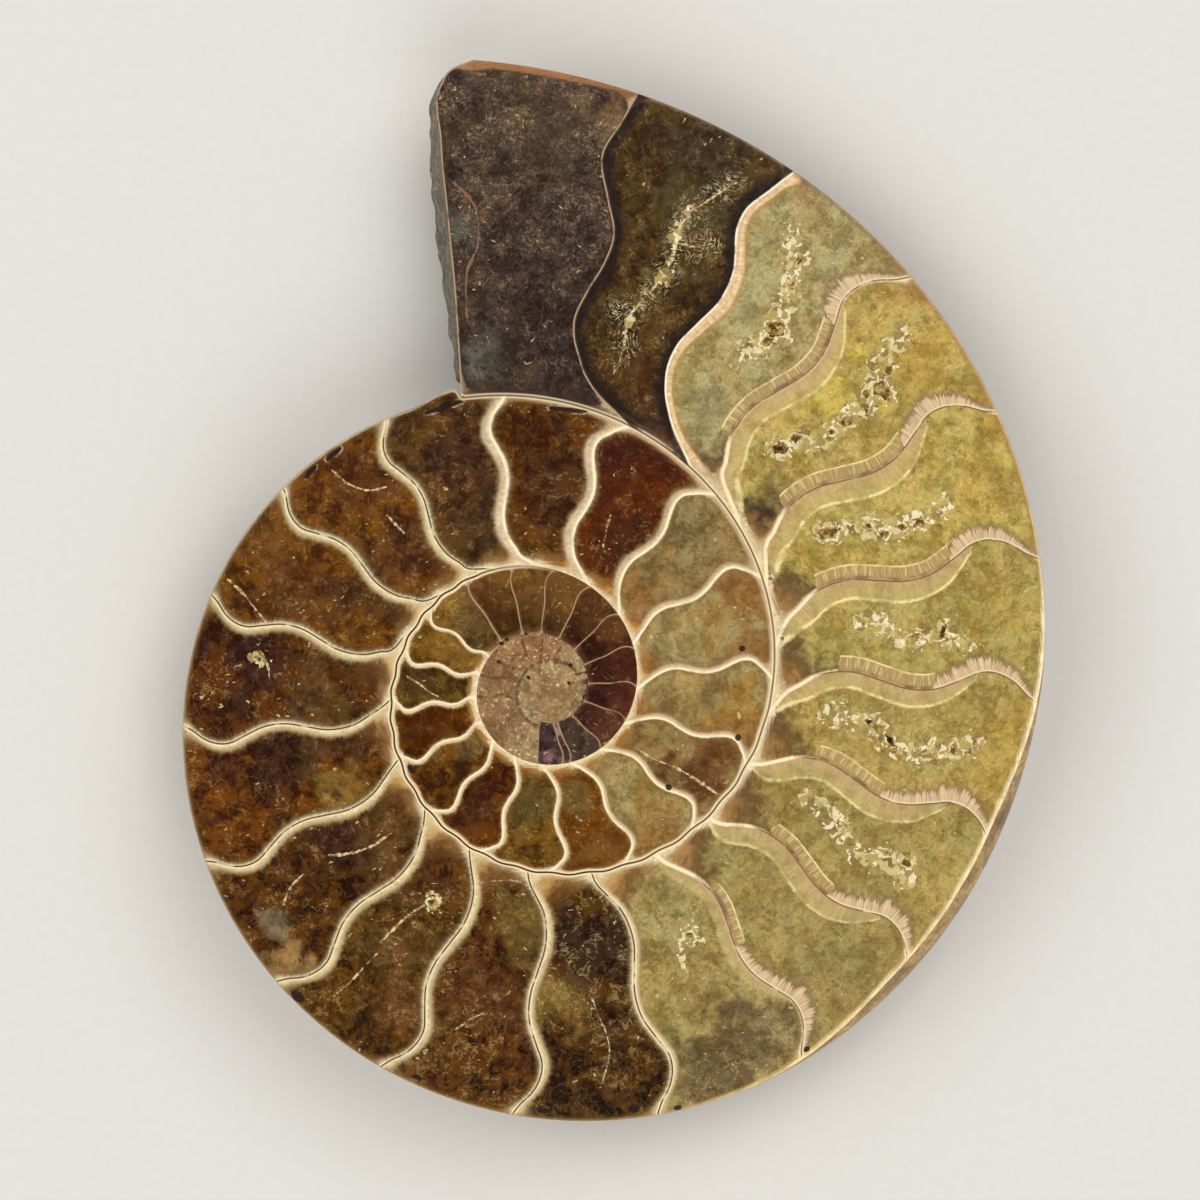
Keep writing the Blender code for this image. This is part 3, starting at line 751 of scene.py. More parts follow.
# Chains of small crystals through the middle of the chambers; then how far each reaches to
# the sides in mm, and how open it is: 0 is packed, 1 has no crystals left.
DRUSE = [
    [(1141, 0.82), (1139.6, 0.78), (1137.6, 0.66), (1137, 0.55), (1137.4, 0.47), (1139, 0.42)],
    [(1124.3, 0.85), (1124, 0.7), (1121, 0.62), (1121.5, 0.5), (1121.5, 0.42), (1124.5, 0.3)],
    [(1104.5, 0.72), (1104, 0.58), (1104.5, 0.5), (1106.5, 0.44), (1107.5, 0.33), (1109, 0.27)],
    [(1086, 0.72), (1087.5, 0.63), (1087.8, 0.55), (1088, 0.47), (1091.5, 0.38), (1092, 0.32)],
    [(1073, 0.78), (1071.5, 0.7), (1070.5, 0.6), (1071, 0.52), (1072, 0.47), (1074, 0.4)],
    [(1074, 0.4), (1075, 0.3), (1075.5, 0.22)],
    [(1052.5, 0.75), (1053.5, 0.65), (1053, 0.57), (1054, 0.47), (1056.5, 0.4), (1058.5, 0.28)],
    [(1017, 0.48), (1019, 0.36), (1021, 0.33), (1023, 0.3)],
    [(1152.4, 0.72), (1153.2, 0.64), (1153.0, 0.56), (1153.4, 0.49)],
    [(1153.4, 0.49), (1154.6, 0.43), (1156.0, 0.35), (1156.6, 0.28)],
]
DRUSE_REACH = [(1.3, 0.0)] * 7 + [(0.6, 0.0), (0.8, 0.85), (0.5, 0.88)]

# The line of a septum itself, by its turn angle: colour, and half its width in mm.
LINE_TONES = ((268, 164, 134, 106), (486, 168, 138, 108), (506, 240, 220, 180))
LINE_TONES += ((800, 244, 226, 186), (822, 244, 226, 186), (836, 70, 44, 24), (1010, 70, 44, 24))
LINE_TONES += ((1020, 120, 90, 58), (1130, 120, 92, 60), (1140, 246, 230, 202))
LINE_TONES += ((1150, 246, 230, 202), (1161, 170, 138, 108))
LINE_HALVES = ((268, 0.05), (486, 0.055), (506, 0.08), (640, 0.1), (818, 0.12), (841, 0.075))
LINE_HALVES += ((1007, 0.075), (1027, 0.07), (1130, 0.07), (1145, 0.1), (1161, 0.15))
LINE_EDGES = ((268, 0.0), (500, 0.0), (520, 0.5), (820, 0.6), (841, 0.8), (1135, 0.8), (1145, 0.0))
WALL_LINE = ((268, 0.0), (440, 0.0), (480, 1.0), (640, 1.0), (720, 0.8), (825, 0.8))
WALL_LINE += ((830, 0.0), (1185, 0.0))

# The thin bright line on the rim of the cut: how strong, and its colour. It is partly the shell's pale edge
# and partly a painted highlight, brightest from turn 1026 to 1085, where the edge catches the light.
RIM_AND_HIGHLIGHT_SHARES = ((268, 0.0), (824, 0.0), (827, 0.7), (1000, 0.5), (1026, 1.0), (1085, 1.0))
RIM_AND_HIGHLIGHT_SHARES += ((1100, 0.7), (1140, 0.7), (1150, 0.5), (1158, 0.9), (1185, 0.9))
RIM_WIDTHS = ((268, 0.1), (1000, 0.1), (1026, 0.34), (1085, 0.34), (1100, 0.12), (1185, 0.2))
RIM_AND_HIGHLIGHT_TONES = ((268, 200, 180, 150), (850, 206, 190, 160), (900, 168, 148, 116))
RIM_AND_HIGHLIGHT_TONES += ((1000, 160, 136, 98), (1026, 232, 208, 152), (1085, 244, 228, 182))
RIM_AND_HIGHLIGHT_TONES += ((1110, 214, 180, 130), (1145, 150, 124, 92), (1154, 128, 104, 80))
RIM_AND_HIGHLIGHT_TONES += ((1162, 150, 108, 74), (1185, 164, 120, 82))


def toned(knots, turn):
    """A colour read from (turn, red, green, blue) knots, in linear values."""
    rows = np.array(knots, float)
    turn = np.atleast_1d(np.asarray(turn, float))
    parts = [np.interp(turn, rows[:, 0], (rows[:, k] / 255.0) ** 2.2) for k in (1, 2, 3)]
    return np.stack(parts, -1)


def read_at(knots, turn):
    """A plain number read from (turn, value) knots."""
    return np.interp(turn, *np.array(knots).T)


# The chambers are numbered from the oldest to the body chamber, and the clay core comes last.
MOUTH = 1181.0
BASES = [CORE_END] + [septum[0] for septum in SEPTA] + [MOUTH]
CORE = len(outlines)
BODY_CHAMBER = CORE - 1
NEEDLE_CHAMBER = BASES.index(1145.1)
FIRST_DARK, LAST_DARK = 300.0, 500.0  # small dark chambers that are paler towards the outside
FIRST_STAINED, LAST_STAINED = 790.0, 850.0  # here a pale ring lies round each black stain
FAR = 9.0  # the distance in mm that is kept for a thing that isn't near
corner_values = {}


def keep_values(name, faces, back, values):
    """Stores one value, or one colour, for each corner of some of the cut's faces."""
    values = np.asarray(values, float)
    if values.ndim == 0:
        values = np.full(back.max() + 1, values)
    if values.ndim == 2:
        values = np.hstack([values, np.ones((len(values), 1))])
    if name not in corner_values:
        corner_values[name] = np.zeros((len(cut_faces), 3) + values.shape[1:])
    corner_values[name][faces] = values[back].reshape((-1, 3) + values.shape[1:])


def core_lines(points):
    """How far points in the clay core lie from its rim, and from the ring inside it."""
    full = np.ones(len(points))
    turn = np.degrees(np.arctan2(points[:, 1], points[:, 0]))
    outer, along_wall = nearest(points, wall_points[line_ids[0][0] : line_ids[0][-1] + 1])
    return SimpleNamespace(
        older=full * FAR,
        younger=full * FAR,
        inner=np.abs(np.hypot(*(points - RING_MIDDLE).T) - RING_RADIUS),
        outer=outer,
        along_older=turn * 0.1,
        along_younger=turn * 0.1,
        along_wall=along_wall,
        turn=turn,
        across=full * 0.5,
        widths=[full * 0.0] * 4,
        height=FAR,
        ends=(CORE_END,) * 4,
    )


def chamber_lines(region, points):
    """How far points in a chamber lie from its walls, and how wide the linings are there."""
    first, last = line_ids[region], line_ids[region + 1]
    older_turn, younger_turn = BASES[region], BASES[region + 1]
    middle = 0.5 * (older_turn + younger_turn)
    older, along_older = nearest(points, lines[region][0])
    younger, along_younger = nearest(points, lines[region + 1][0])
    inner, _ = nearest(points, wall_points[max(0, first[0] - 3) : last[0] + 4])
    outer, _ = nearest(points, wall_points[first[-1] : last[-1] + 1])
    turn, across = turn_and_across(points, middle)
    across = np.clip(across, 0, 1)
    widths = [
        through(CREAM_AFTER, older_turn) * through(AFTER_SHAPE, across),
        through(CREAM_BEFORE, younger_turn) * through(BEFORE_SHAPE, across),
        through(INNER_LINING, turn),
        through(OUTER_LINING, turn),
    ]
    if FIRST_BANDED < older_turn < LAST_BANDED:
        widths[0] = widths[0] + FOOT_WIDENING * smooth_step((FOOT_TOP - across) / 0.1)
    return SimpleNamespace(
        older=older,
        younger=younger,
        inner=inner,
        outer=np.minimum(outer, FAR) if region == BODY_CHAMBER else outer,
        along_older=along_older,
        along_younger=along_younger,
        along_wall=np.radians(turn) * np.hypot(*points.T),
        turn=turn,
        across=across,
        widths=widths,
        height=float(np.ptp(wall_radius(np.array([middle - 360, middle])))),
        ends=(older_turn, younger_turn, turn, turn),
    )


def lining_values(region, area):
    """Where the lining ends, how ragged it is, and the colours on both sides of its edge."""
    distances = (area.older, area.younger, area.inner, area.outer)
    depths = [distance - width for distance, width in zip(distances, area.widths)]
    shares = np.array([1.0 / (np.maximum(depth, 0) + 0.25) ** 4 for depth in depths])
    shares /= shares.sum(0)

    def shared(all_knots):
        tones = [toned(knots, turn) for knots, turn in zip(all_knots, area.ends)]
        return sum(share[:, None] * tone for share, tone in zip(shares, tones))

    def blended(values):
        return (shares * np.array(values)[:, None]).sum(0)

    return {
        "filling_depth": rounded_least(depths, CORNER * area.height / 20.0),
        "lining": shared((TONE_AFTER, TONE_BEFORE, TONE_INNER, TONE_OUTER)),
        "glow": shared((GLOW_AFTER, GLOW_BEFORE, GLOW_INNER, GLOW_OUTER)),
        "glow_share": blended(GLOW_SHARES) * (0.0 if region == CORE else 1.0),
        "glow_reach": blended(GLOW_REACHES) * min(1.0, area.height / 16.0),
        "ragged": blended(RAGGED) * min(1.0, area.height / 11.0),
        "softness": read_at(SOFTNESS, CORE_END if region == CORE else area.turn),
    }


def wall_values(region, area):
    """Colours and widths of the septa's own lines, the wall's line and the rim, whose bright line is partly
    a painted highlight.
    """
    nearest_turn = np.where(area.younger < area.older, area.ends[1], area.ends[0])
    banded = (nearest_turn > FIRST_BANDED) & (nearest_turn < LAST_BANDED)
    foot = smooth_step((FOOT_TOP - area.across) / 0.06) * banded
    tone = toned(LINE_TONES, nearest_turn)
    inner_line, outer_line = read_at(WALL_LINE, area.turn - 360), read_at(WALL_LINE, area.turn)
    return {
        "shell": tone + (toned((FOOT_TONE,), 0) - tone) * foot[:, None],
        "line_half": read_at(LINE_HALVES, nearest_turn) + FOOT_WIDENING * foot,
        "line_edge": read_at(LINE_EDGES, nearest_turn),
        "wall_line": np.where(area.inner < area.outer, inner_line, outer_line),
        "rim": read_at(RIM_AND_HIGHLIGHT_SHARES, area.turn) * (region != CORE),
        "rim_width": read_at(RIM_WIDTHS, area.turn),
        "rim_tone": toned(RIM_AND_HIGHLIGHT_TONES, area.turn),
    }


def band_values(region, area):
    """Widths of the bands and the fur beside both septa of a chamber."""
    none = area.across * 0.0
    values = {"band_after": none, "fur": none, "band_before": none, "band_edge": none}
    if region == CORE:
        return values
    start, end, width, _, _ = BANDS.get(BASES[region], [0.0] * 5)
    if width:
        values["band_after"] = width * ((area.across > start) & (area.across < end))
        values["fur"] = through(FUR, area.across) * (area.across > end)
    _, _, _, width, edge = BANDS.get(BASES[region + 1], [0.0] * 5)
    if width:
        within_reach = (area.across > BAND_REACH[0]) & (area.across < BAND_REACH[1])
        values["band_before"] = width * through(BAND_SHAPE, area.across) * within_reach
        values["band_edge"] = none + edge
    return values


def wedge_values(region, area):
    """How far into the warm inner corner a place lies, 0 to 1 and on, and its colours."""
    base = 0 if region == CORE else BASES[region]
    wedge = area.across * 0.0 + FAR
    if region != CORE:
        size = read_at(WEDGE_REACH, base)
        wedge = (np.maximum(area.older, 0) + 1.15 * area.inner) / size
        wedge += 4.0 * np.maximum(0, area.across - 0.3)
    across = np.ones((len(wedge), 1))
    tones = {"wedge_tone": toned(WEDGE_TONE, base) * across, "smoke_tone": toned(SMOKE_TONE, base) * across}
    return {"wedge": wedge, **tones}


def core_shade(points):
    """How dark the clay core is: most in the small cap at its top and outside the ring."""
    shade = 0.8 * smooth_step(1.4 - np.hypot(*(points - (1.0, 3.6)).T) / 1.0)
    ring = smooth_step((np.hypot(*(points - RING_MIDDLE).T) - (RING_RADIUS - 0.05)) / 0.15)
    shade += ring * smooth_step((2.0 - points[:, 0] + 0.6 * points[:, 1]) / 4.0) * 0.75
    return np.clip(shade, 0, 1)[:, None]


def filling_values(region, area, points):
    """The filling's own colour and that of its grains, with the patches that lie in a chamber."""
    filling, glint, grain, speck = FILLINGS[region]
    filling, glint = (np.array(tinted(*tone)) * np.ones((len(points), 1)) for tone in (filling, glint))
    if region != CORE and FIRST_DARK < BASES[region] < LAST_DARK:
        rise = (0.6 + 0.75 * smooth_step(area.across * 1.1 - 0.05))[:, None]
        filling, glint = filling * rise, glint * rise
    for home, middle, size, colour, strength in patches:
        if home == region:
            away = np.hypot(*(points - middle).T) / size
            for k in np.flatnonzero(away < CLOUD_END):
                place = Vector((*points[k], 3.0))
                away[k] *= 1.0 + 0.9 * noise.noise(place * 0.33) + 0.7 * noise.noise(place * 0.9)
            share = strength * smooth_step(1.6 - 1.4 * away)[:, None]
            target = np.array(tinted(*colour))
            filling = filling + (target * 0.85 - filling) * share
            glint = glint + (target * 1.3 + 0.01 - glint) * share
    if region == CORE:
        filling = filling * (1.0 - np.array([0.2, 0.44, 0.48]) * core_shade(points))
        glint = glint * (1.0 - np.array([0.14, 0.34, 0.4]) * core_shade(points))
    return {"filling": filling, "glint": glint, "grain": grain, "speck": speck}


def signed_distance(points, loop):
    """Distance from a closed outline, less than 0 inside it."""
    away = nearest(points, loop, closed=True)[0]
    return np.where(inside(points, loop), -away, away)


def mark_values(region, points):
    """Distances from crystals, hollows, the siphuncle's black marks, cracks and the core's dark lines."""
    full = np.ones(len(points))
    chain, hollow, stain, crack, groove = (full * FAR for _ in range(5))
    druse = full * 0.0
    for line, size, openness in druse_lines:
        chain = np.minimum(chain, np.maximum(nearest(points, line)[0] / size, openness))
    for loop, row in zip(hollow_loops, HOLLOWS):
        near = np.hypot(*(points - loop.mean(0)).T) < 4.0
        if near.any():
            away = signed_distance(points[near], loop)
            druse[near] = np.where(away < hollow[near], row[6], druse[near])
            hollow[near] = np.minimum(hollow[near], away)
    for loop in stain_loops:
        near = np.hypot(*(points - loop.mean(0)).T) < 4.0
        if near.any():
            stain[near] = np.minimum(stain[near], signed_distance(points[near], loop))
    for line, (_, width) in zip(crack_lines, CRACKS):
        near = np.hypot(*(points - line.mean(0)).T) < 14.0
        if near.any():
            away, along = nearest(points[near], line)
            length = np.hypot(*np.diff(line, axis=0).T).sum()
            taper = smooth_step(along / 1.0) * smooth_step((length - along) / 1.0)
            crack[near] = np.minimum(crack[near], away - width * (0.2 + 0.4 * taper))
    if region == CORE:
        for line in CORE_LINES:
            groove = np.minimum(groove, nearest(points, np.array(line))[0])
    marks = {"chain": chain, "hollow": hollow, "druse": druse, "stain": stain}
    return {**marks, "crack": crack, "groove": groove}


face_middles = cut_points[cut_faces].mean(1)
patches = []
for turn, across, reach, colour, strength in CLOUDS:
    middle = spot(turn, across)
    nearest_face = np.hypot(*(face_middles - middle).T).argmin()
    patches.append((cut_regions[nearest_face], middle, reach, colour, strength))
druse_lines = []
for knots, (reach, openness) in zip(DRUSE, DRUSE_REACH):
    druse_lines.append((spot([k[0] for k in knots], [k[1] for k in knots]), reach, openness))

# The materials: plain filling, filling with bands or crystals, the dark chambers by the mouth
# and the core, and the outside. Crystals show up to 2 mm from a chain or a hollow.
PLAIN, BANDED, DARK, SHELL, BROKEN = range(5)
NEAR_CRYSTALS = 2.0
cut_kinds = np.zeros(len(cut_faces), int)

for region in range(CORE + 1):
    faces = np.flatnonzero(cut_regions == region)
    ids, back = np.unique(cut_faces[faces], return_inverse=True)
    points = cut_points[ids]
    area = core_lines(points) if region == CORE else chamber_lines(region, points)
    marks, bands = mark_values(region, points), band_values(region, area)
    values = {
        "from_older": area.older,
        "from_younger": area.younger,
        "along_older": area.along_older,
        "along_younger": area.along_younger,
        "from_inner": area.inner,
        "from_outer": area.outer,
        "along_wall": area.along_wall,
        "across": area.across,
        "core": region == CORE,
        "body_chamber": region == BODY_CHAMBER,
        "needles": region == NEEDLE_CHAMBER,
        "stain_ring": FIRST_STAINED < BASES[region] < LAST_STAINED,
        **lining_values(region, area),
        **wall_values(region, area),
        **bands,
        **wedge_values(region, area),
        **filling_values(region, area, points),
        **marks,
    }
    for name, value in values.items():
        keep_values(name, faces, back.reshape(-1), value)
    if region >= NEEDLE_CHAMBER:
        cut_kinds[faces] = DARK
    elif bands["band_after"].any() or bands["band_before"].any():
        cut_kinds[faces] = BANDED
    elif min(marks["chain"].min(), marks["hollow"].min()) < NEAR_CRYSTALS:
        cut_kinds[faces] = BANDED

# ------------------------------------------------------------------------------------------
# THE SHELL. The half's rounded back and its rim, with low ribs that bend forward, growth lines,
# and the older whorls showing in the navel; where the mouth broke off, a rough sloping face.
# ------------------------------------------------------------------------------------------
RIB_COUNT = 26
RIB_RELIEF = 0.007
RIB_SWEEP = 9.0
BREAK_SLOPE = 1.2
BREAK_RELIEF = 0.5
BREAK_FLARE = 5.0
WALL_ROWS = (0.0, 0.08, 0.17, 0.27, 0.37, 0.47, 0.57, 0.66, 0.75, 0.83, 0.9, 0.95, 0.985)
FLANK_ROWS = (0.42, 0.36, 0.3, 0.24, 0.18, 0.12, 0.07, 0.03, 0.0)
NAVEL_ROWS = (0.9, 0.8, 0.7, 0.6, 0.5, 0.4, 0.3, 0.2, 0.1)
THINNED_AT = (14, 18, 23, 27, 30)  # rows at which every second column ends


def flank(s):
    outward = np.clip((s - CREST) / (1.0 - CREST), 0, 1)
    inward = np.clip((CREST - s) / CREST, 0, 1)
    outer = (1.0 - outward**VENTER_POWER) ** VENTER_ROUND
    return np.where(s >= CREST, outer, 1.0 - SHOULDER_DROP * inward**2 - SEAM_DROP * inward**8)


def rib(turn, s):
    envelope = smooth_step((s - 0.34) / 0.2) * smooth_step((1.0 - s) / 0.12)
    swing = turn - RIB_SWEEP * np.sin(np.pi * s)
    wave = 0.5 + 0.5 * np.cos(np.radians(swing * RIB_COUNT))
    return RIB_RELIEF * wall_radius(turn) * envelope * wave


def section(turn):
    """Radii, depths below the middle plane, turn and place on the flank, from the cut's edge in."""
    outer, deep, offset = float(wall_radius(turn)), float(thickness(turn)), float(cut_offset(turn))
    rows = []
    for share in (-offset / deep, -0.5 * offset / deep) + WALL_ROWS:
        s = float(place_of_depth(share))
        lift = float(rib(turn, s)) if share >= 0 else 0.0
        rows.append((outer * (SEAM_RATIO + s * (1.0 - SEAM_RATIO)), share * deep - lift, turn, s))
    for s in FLANK_ROWS:
        lift = float(rib(turn, s))
        r = outer * (SEAM_RATIO + s * (1.0 - SEAM_RATIO))
        rows.append((r, deep * float(flank(s)) - lift, turn, s))
    for part in NAVEL_ROWS:
        r, older, thin = outer * SEAM_RATIO * part, max(turn - 360.0, 90.0), deep * WHORL_THINNING
        while older > 450.0 and r < wall_radius(older) * SEAM_RATIO:
            older, thin = older - 360.0, thin * WHORL_THINNING
        around = float(wall_radius(older))
        s = max(0.0, (r / around - SEAM_RATIO) / (1.0 - SEAM_RATIO))
        rows.append((r, thin * float(flank(s)), older, s))
    return rows


solid_points = [Vector((x, y, HEIGHT - d)) for (x, y), d in zip(cut_points, cut_drop)]
cut_of_plan = {}
for made, owners in enumerate(cut[3]):
    for owner in owners:
        cut_of_plan[owner] = made
rings, shell_notes = [], {}
for plan_id in outline_ids:
    x, y = plan[plan_id]
    whole = plan_id < len(wall_turns) and wall_turns[plan_id] >= LAST_WHORL_START - 0.3
    column = [cut_of_plan[plan_id]]
    if whole:
        turn, limit = max(float(wall_turns[plan_id]), LAST_WHORL_START), 1e9
    else:
        turn, limit = math.degrees(math.atan2(y, x)) + 1080.0, math.hypot(x, y)
        across = (limit - wall_radius(turn - 360.0)) / (wall_radius(turn) - wall_radius(turn - 360.0))
        outward = at(1.0, turn + 90.0)
        end = math.sin(math.pi * min(1.0, max(0.0, 1.06 - across))) ** 0.4
    scrap = REMNANT * float(smooth_step(1.0 - (turn - LAST_WHORL_START) / REMNANT_SPAN))
    top = HEIGHT - float(cut_offset(turn))
    rows = [list(row) for row in section(turn)[1:]]
    within = [row[0] <= limit for row in rows].index(True)
    if within:
        # The row nearest to where the broken face meets the shell moves onto that very edge.
        (r_out, deep_out, *_), (r_in, deep_in, *_) = rows[within - 1], rows[within]
        share = (r_out - limit) / (r_out - r_in)
        nearest_row = rows[within] if share > 0.5 else rows[within - 1]
        nearest_row[0], nearest_row[1] = limit, deep_out + share * (deep_in - deep_out)
    for row, (r, deep, own_turn, s) in enumerate(rows):
        r += scrap * max(0.0, 1.0 - (row + 1) / len(WALL_ROWS)) * whole
        place = Vector((*at(min(r, limit), turn), min(top - deep, HEIGHT)))
        broken = r >= limit
        if not whole:
            down = float(smooth_step((HEIGHT - place.z) / (0.4 * HEIGHT)))
            lump = noise.noise(place * 0.26) + 0.6 * noise.noise(place * 0.8)
            near_edge = float(smooth_step(1.0 - (limit - r) / BREAK_FLARE))
            step = BREAK_SLOPE * down * end * near_edge + BREAK_RELIEF * lump * down * broken
            place += Vector((*(outward * step), 0.0))
        column.append(len(solid_points))
        solid_points.append(place)
        swing = own_turn - RIB_SWEEP * math.sin(math.pi * s)
        shell_notes[column[-1]] = (swing, s, float(broken))
    rings.append(column)
navel = len(solid_points)
solid_points.append(Vector((0, 0, solid_points[rings[0][-1]].z)))
shell_notes[navel] = (450.0, 0.0, 0.0)

side_faces, side_kind = [], []
for row in range(len(rings[0])):
    skip = 2 ** sum(row >= thinned for thinned in THINNED_AT)
    next_skip = 2 ** sum(row + 1 >= thinned for thinned in THINNED_AT)
    for i in range(0, len(rings), next_skip):
        end = min(i + next_skip, len(rings))
        here = [rings[k % len(rings)] for k in list(range(i, end, skip)) + [end]]
        upper = [column[row] for column in here]
        lower = [navel] if row + 1 == len(here[0]) else [here[-1][row + 1], here[0][row + 1]]
        side_faces.append(upper[::-1] + lower[::-1])
        notes = [shell_notes[c[max(row, 1)]] for c in (here[0], here[-1])]
        gap = abs(notes[0][0] - notes[1][0]) > 100.0 and row < len(WALL_ROWS) + len(FLANK_ROWS)
        side_kind.append(BROKEN if notes[0][2] + notes[1][2] > 0.5 or gap else SHELL)

# Columns that end early leave points that no face uses, and these are left out.
solid_faces = [list(map(int, f)) for f in cut_faces] + side_faces
used = sorted({corner for face in solid_faces for corner in face})
numbers = {old: new for new, old in enumerate(used)}
solid_points = [solid_points[old] for old in used]
solid_faces = [[numbers[corner] for corner in face] for face in solid_faces]
shell_notes = {numbers[old]: note for old, note in shell_notes.items() if old in numbers}
kinds = np.append(cut_kinds, side_kind)
mesh = bpy.data.meshes.new("ammonite_stone")
to_table = Vector((0, 0, COIL_MIDDLE.z))
mesh.from_pydata([p * MM + COIL_MIDDLE - to_table for p in solid_points], [], solid_faces)
mesh.polygons.foreach_set("material_index", kinds)
loops = len(mesh.loops)
cut_loops = len(cut_faces) * 3
for name, values in corner_values.items():
    colour = values.ndim == 3
    layer = mesh.attributes.new(name, "FLOAT_COLOR" if colour else "FLOAT", "CORNER")
    whole = np.zeros((loops, 4)) if colour else np.full(loops, FAR)
    whole[:cut_loops] = values.reshape((-1, 4)) if colour else values.reshape(-1)
    layer.data.foreach_set("color" if colour else "value", whole.ravel().astype(np.float32))
for index, name in enumerate(("growth_turn", "flank_place", "broken")):
    layer = mesh.attributes.new(name, "FLOAT", "POINT")
    whole = np.zeros(len(mesh.vertices), np.float32)
    for vertex, note in shell_notes.items():
        whole[vertex] = note[index]
    layer.data.foreach_set("value", whole)
mesh.validate()
mesh.update()
stone = bpy.data.objects.new("ammonite_stone", mesh)
bpy.context.scene.collection.objects.link(stone)
mesh.polygons.foreach_set("use_smooth", kinds >= SHELL)

# ------------------------------------------------------------------------------------------
# THE POLISHED FACE. Clear and milky calcite in brown, olive and cream, ground flat and polished
# to a gloss. The colours follow the walls; grain, strokes and specks break them up.
# ------------------------------------------------------------------------------------------


class Recipe:
    """Shader nodes joined up by short calls."""

    def __init__(self, tree):
        self.tree = tree

    def node(self, kind, inputs, **settings):
        node = self.tree.nodes.new("ShaderNode" + kind)
        for name, value in settings.items():
            setattr(node, name, value)
        for socket, value in inputs.items():
            if isinstance(value, bpy.types.NodeSocket):
                self.tree.links.new(value, node.inputs[socket])
            else:
                node.inputs[socket].default_value = value
        return node

    def sum(self, operation, *values):
        return self.node("Math", dict(enumerate(values)), operation=operation).outputs[0]

    def times(self, first, *others):
        for other in others:
            first = self.sum("MULTIPLY", first, other)
        return first

    def plus(self, first, *others):
        for other in others:
            first = self.sum("ADD", first, other)
        return first

    def kept(self, name, output="Fac"):
        return self.node("Attribute", {}, attribute_name=name).outputs[output]

    def ramp(self, value, low, high, start=0.0, end=1.0):
        inputs = {"Value": value, "From Min": low, "From Max": high, "To Min": start, "To Max": end}
        return self.node("MapRange", inputs, interpolation_type="SMOOTHSTEP").outputs[0]

    def between(self, share, low, high):
        return self.node("Mix", {0: share, 2: low, 3: high}).outputs[0]

    def colour(self, share, below, above, blend="MIX"):
        inputs = {0: share, 6: self.shade(below), 7: self.shade(above)}
        return self.node("Mix", inputs, data_type="RGBA", blend_type=blend).outputs[2]

    def shade(self, colour):
        return (*tinted(*colour), 1.0) if isinstance(colour, tuple) and len(colour) == 3 else colour

    def dimmed(self, colour, value):
        grey = self.node("CombineColor", {0: value, 1: value, 2: value}).outputs[0]
        return self.colour(1.0, colour, grey, "MULTIPLY")

    def noise(self, where, scale, detail=2.0, rough=0.55):
        inputs = {"Vector": where, "Scale": scale, "Detail": detail, "Roughness": rough}
        return self.node("TexNoise", inputs).outputs["Fac"]

    def cells(self, where, scale, output="Distance", feature="F1"):
        inputs = {"Vector": where, "Scale": scale}
        return self.node("TexVoronoi", inputs, feature=feature).outputs[output]

    def place(self, x, y, z=0.0):
        return self.node("CombineXYZ", {0: x, 1: y, 2: z}).outputs[0]

    def pushed(self, where, amount, scale):
        """Places pushed about by a slow noise, so that what is drawn over them runs crooked."""
        push = self.node("TexNoise", {"Vector": where, "Scale": scale}).outputs["Color"]
        push = self.node("VectorMath", {0: push, "Scale": amount}, operation="SCALE").outputs[0]
        return self.node("VectorMath", {0: where, 1: push}, operation="ADD").outputs[0]

    def stretched(self, where, x, y, z):
        inputs = {0: where, 1: (x, y, z)}
        return self.node("VectorMath", inputs, operation="MULTIPLY").outputs[0]

    def millimetres(self):
        where = self.node("TexCoord", {}).outputs["Object"]
        return self.node("VectorMath", {0: where, "Scale": 1000.0}, operation="SCALE").outputs[0]

    def group(self, tree, inputs):
        node = self.tree.nodes.new("ShaderNodeGroup")
        node.node_tree = tree
        for socket, value in inputs.items():
            if isinstance(value, bpy.types.NodeSocket):
                self.tree.links.new(value, node.inputs[socket])
            else:
                node.inputs[socket].default_value = value
        return node.outputs


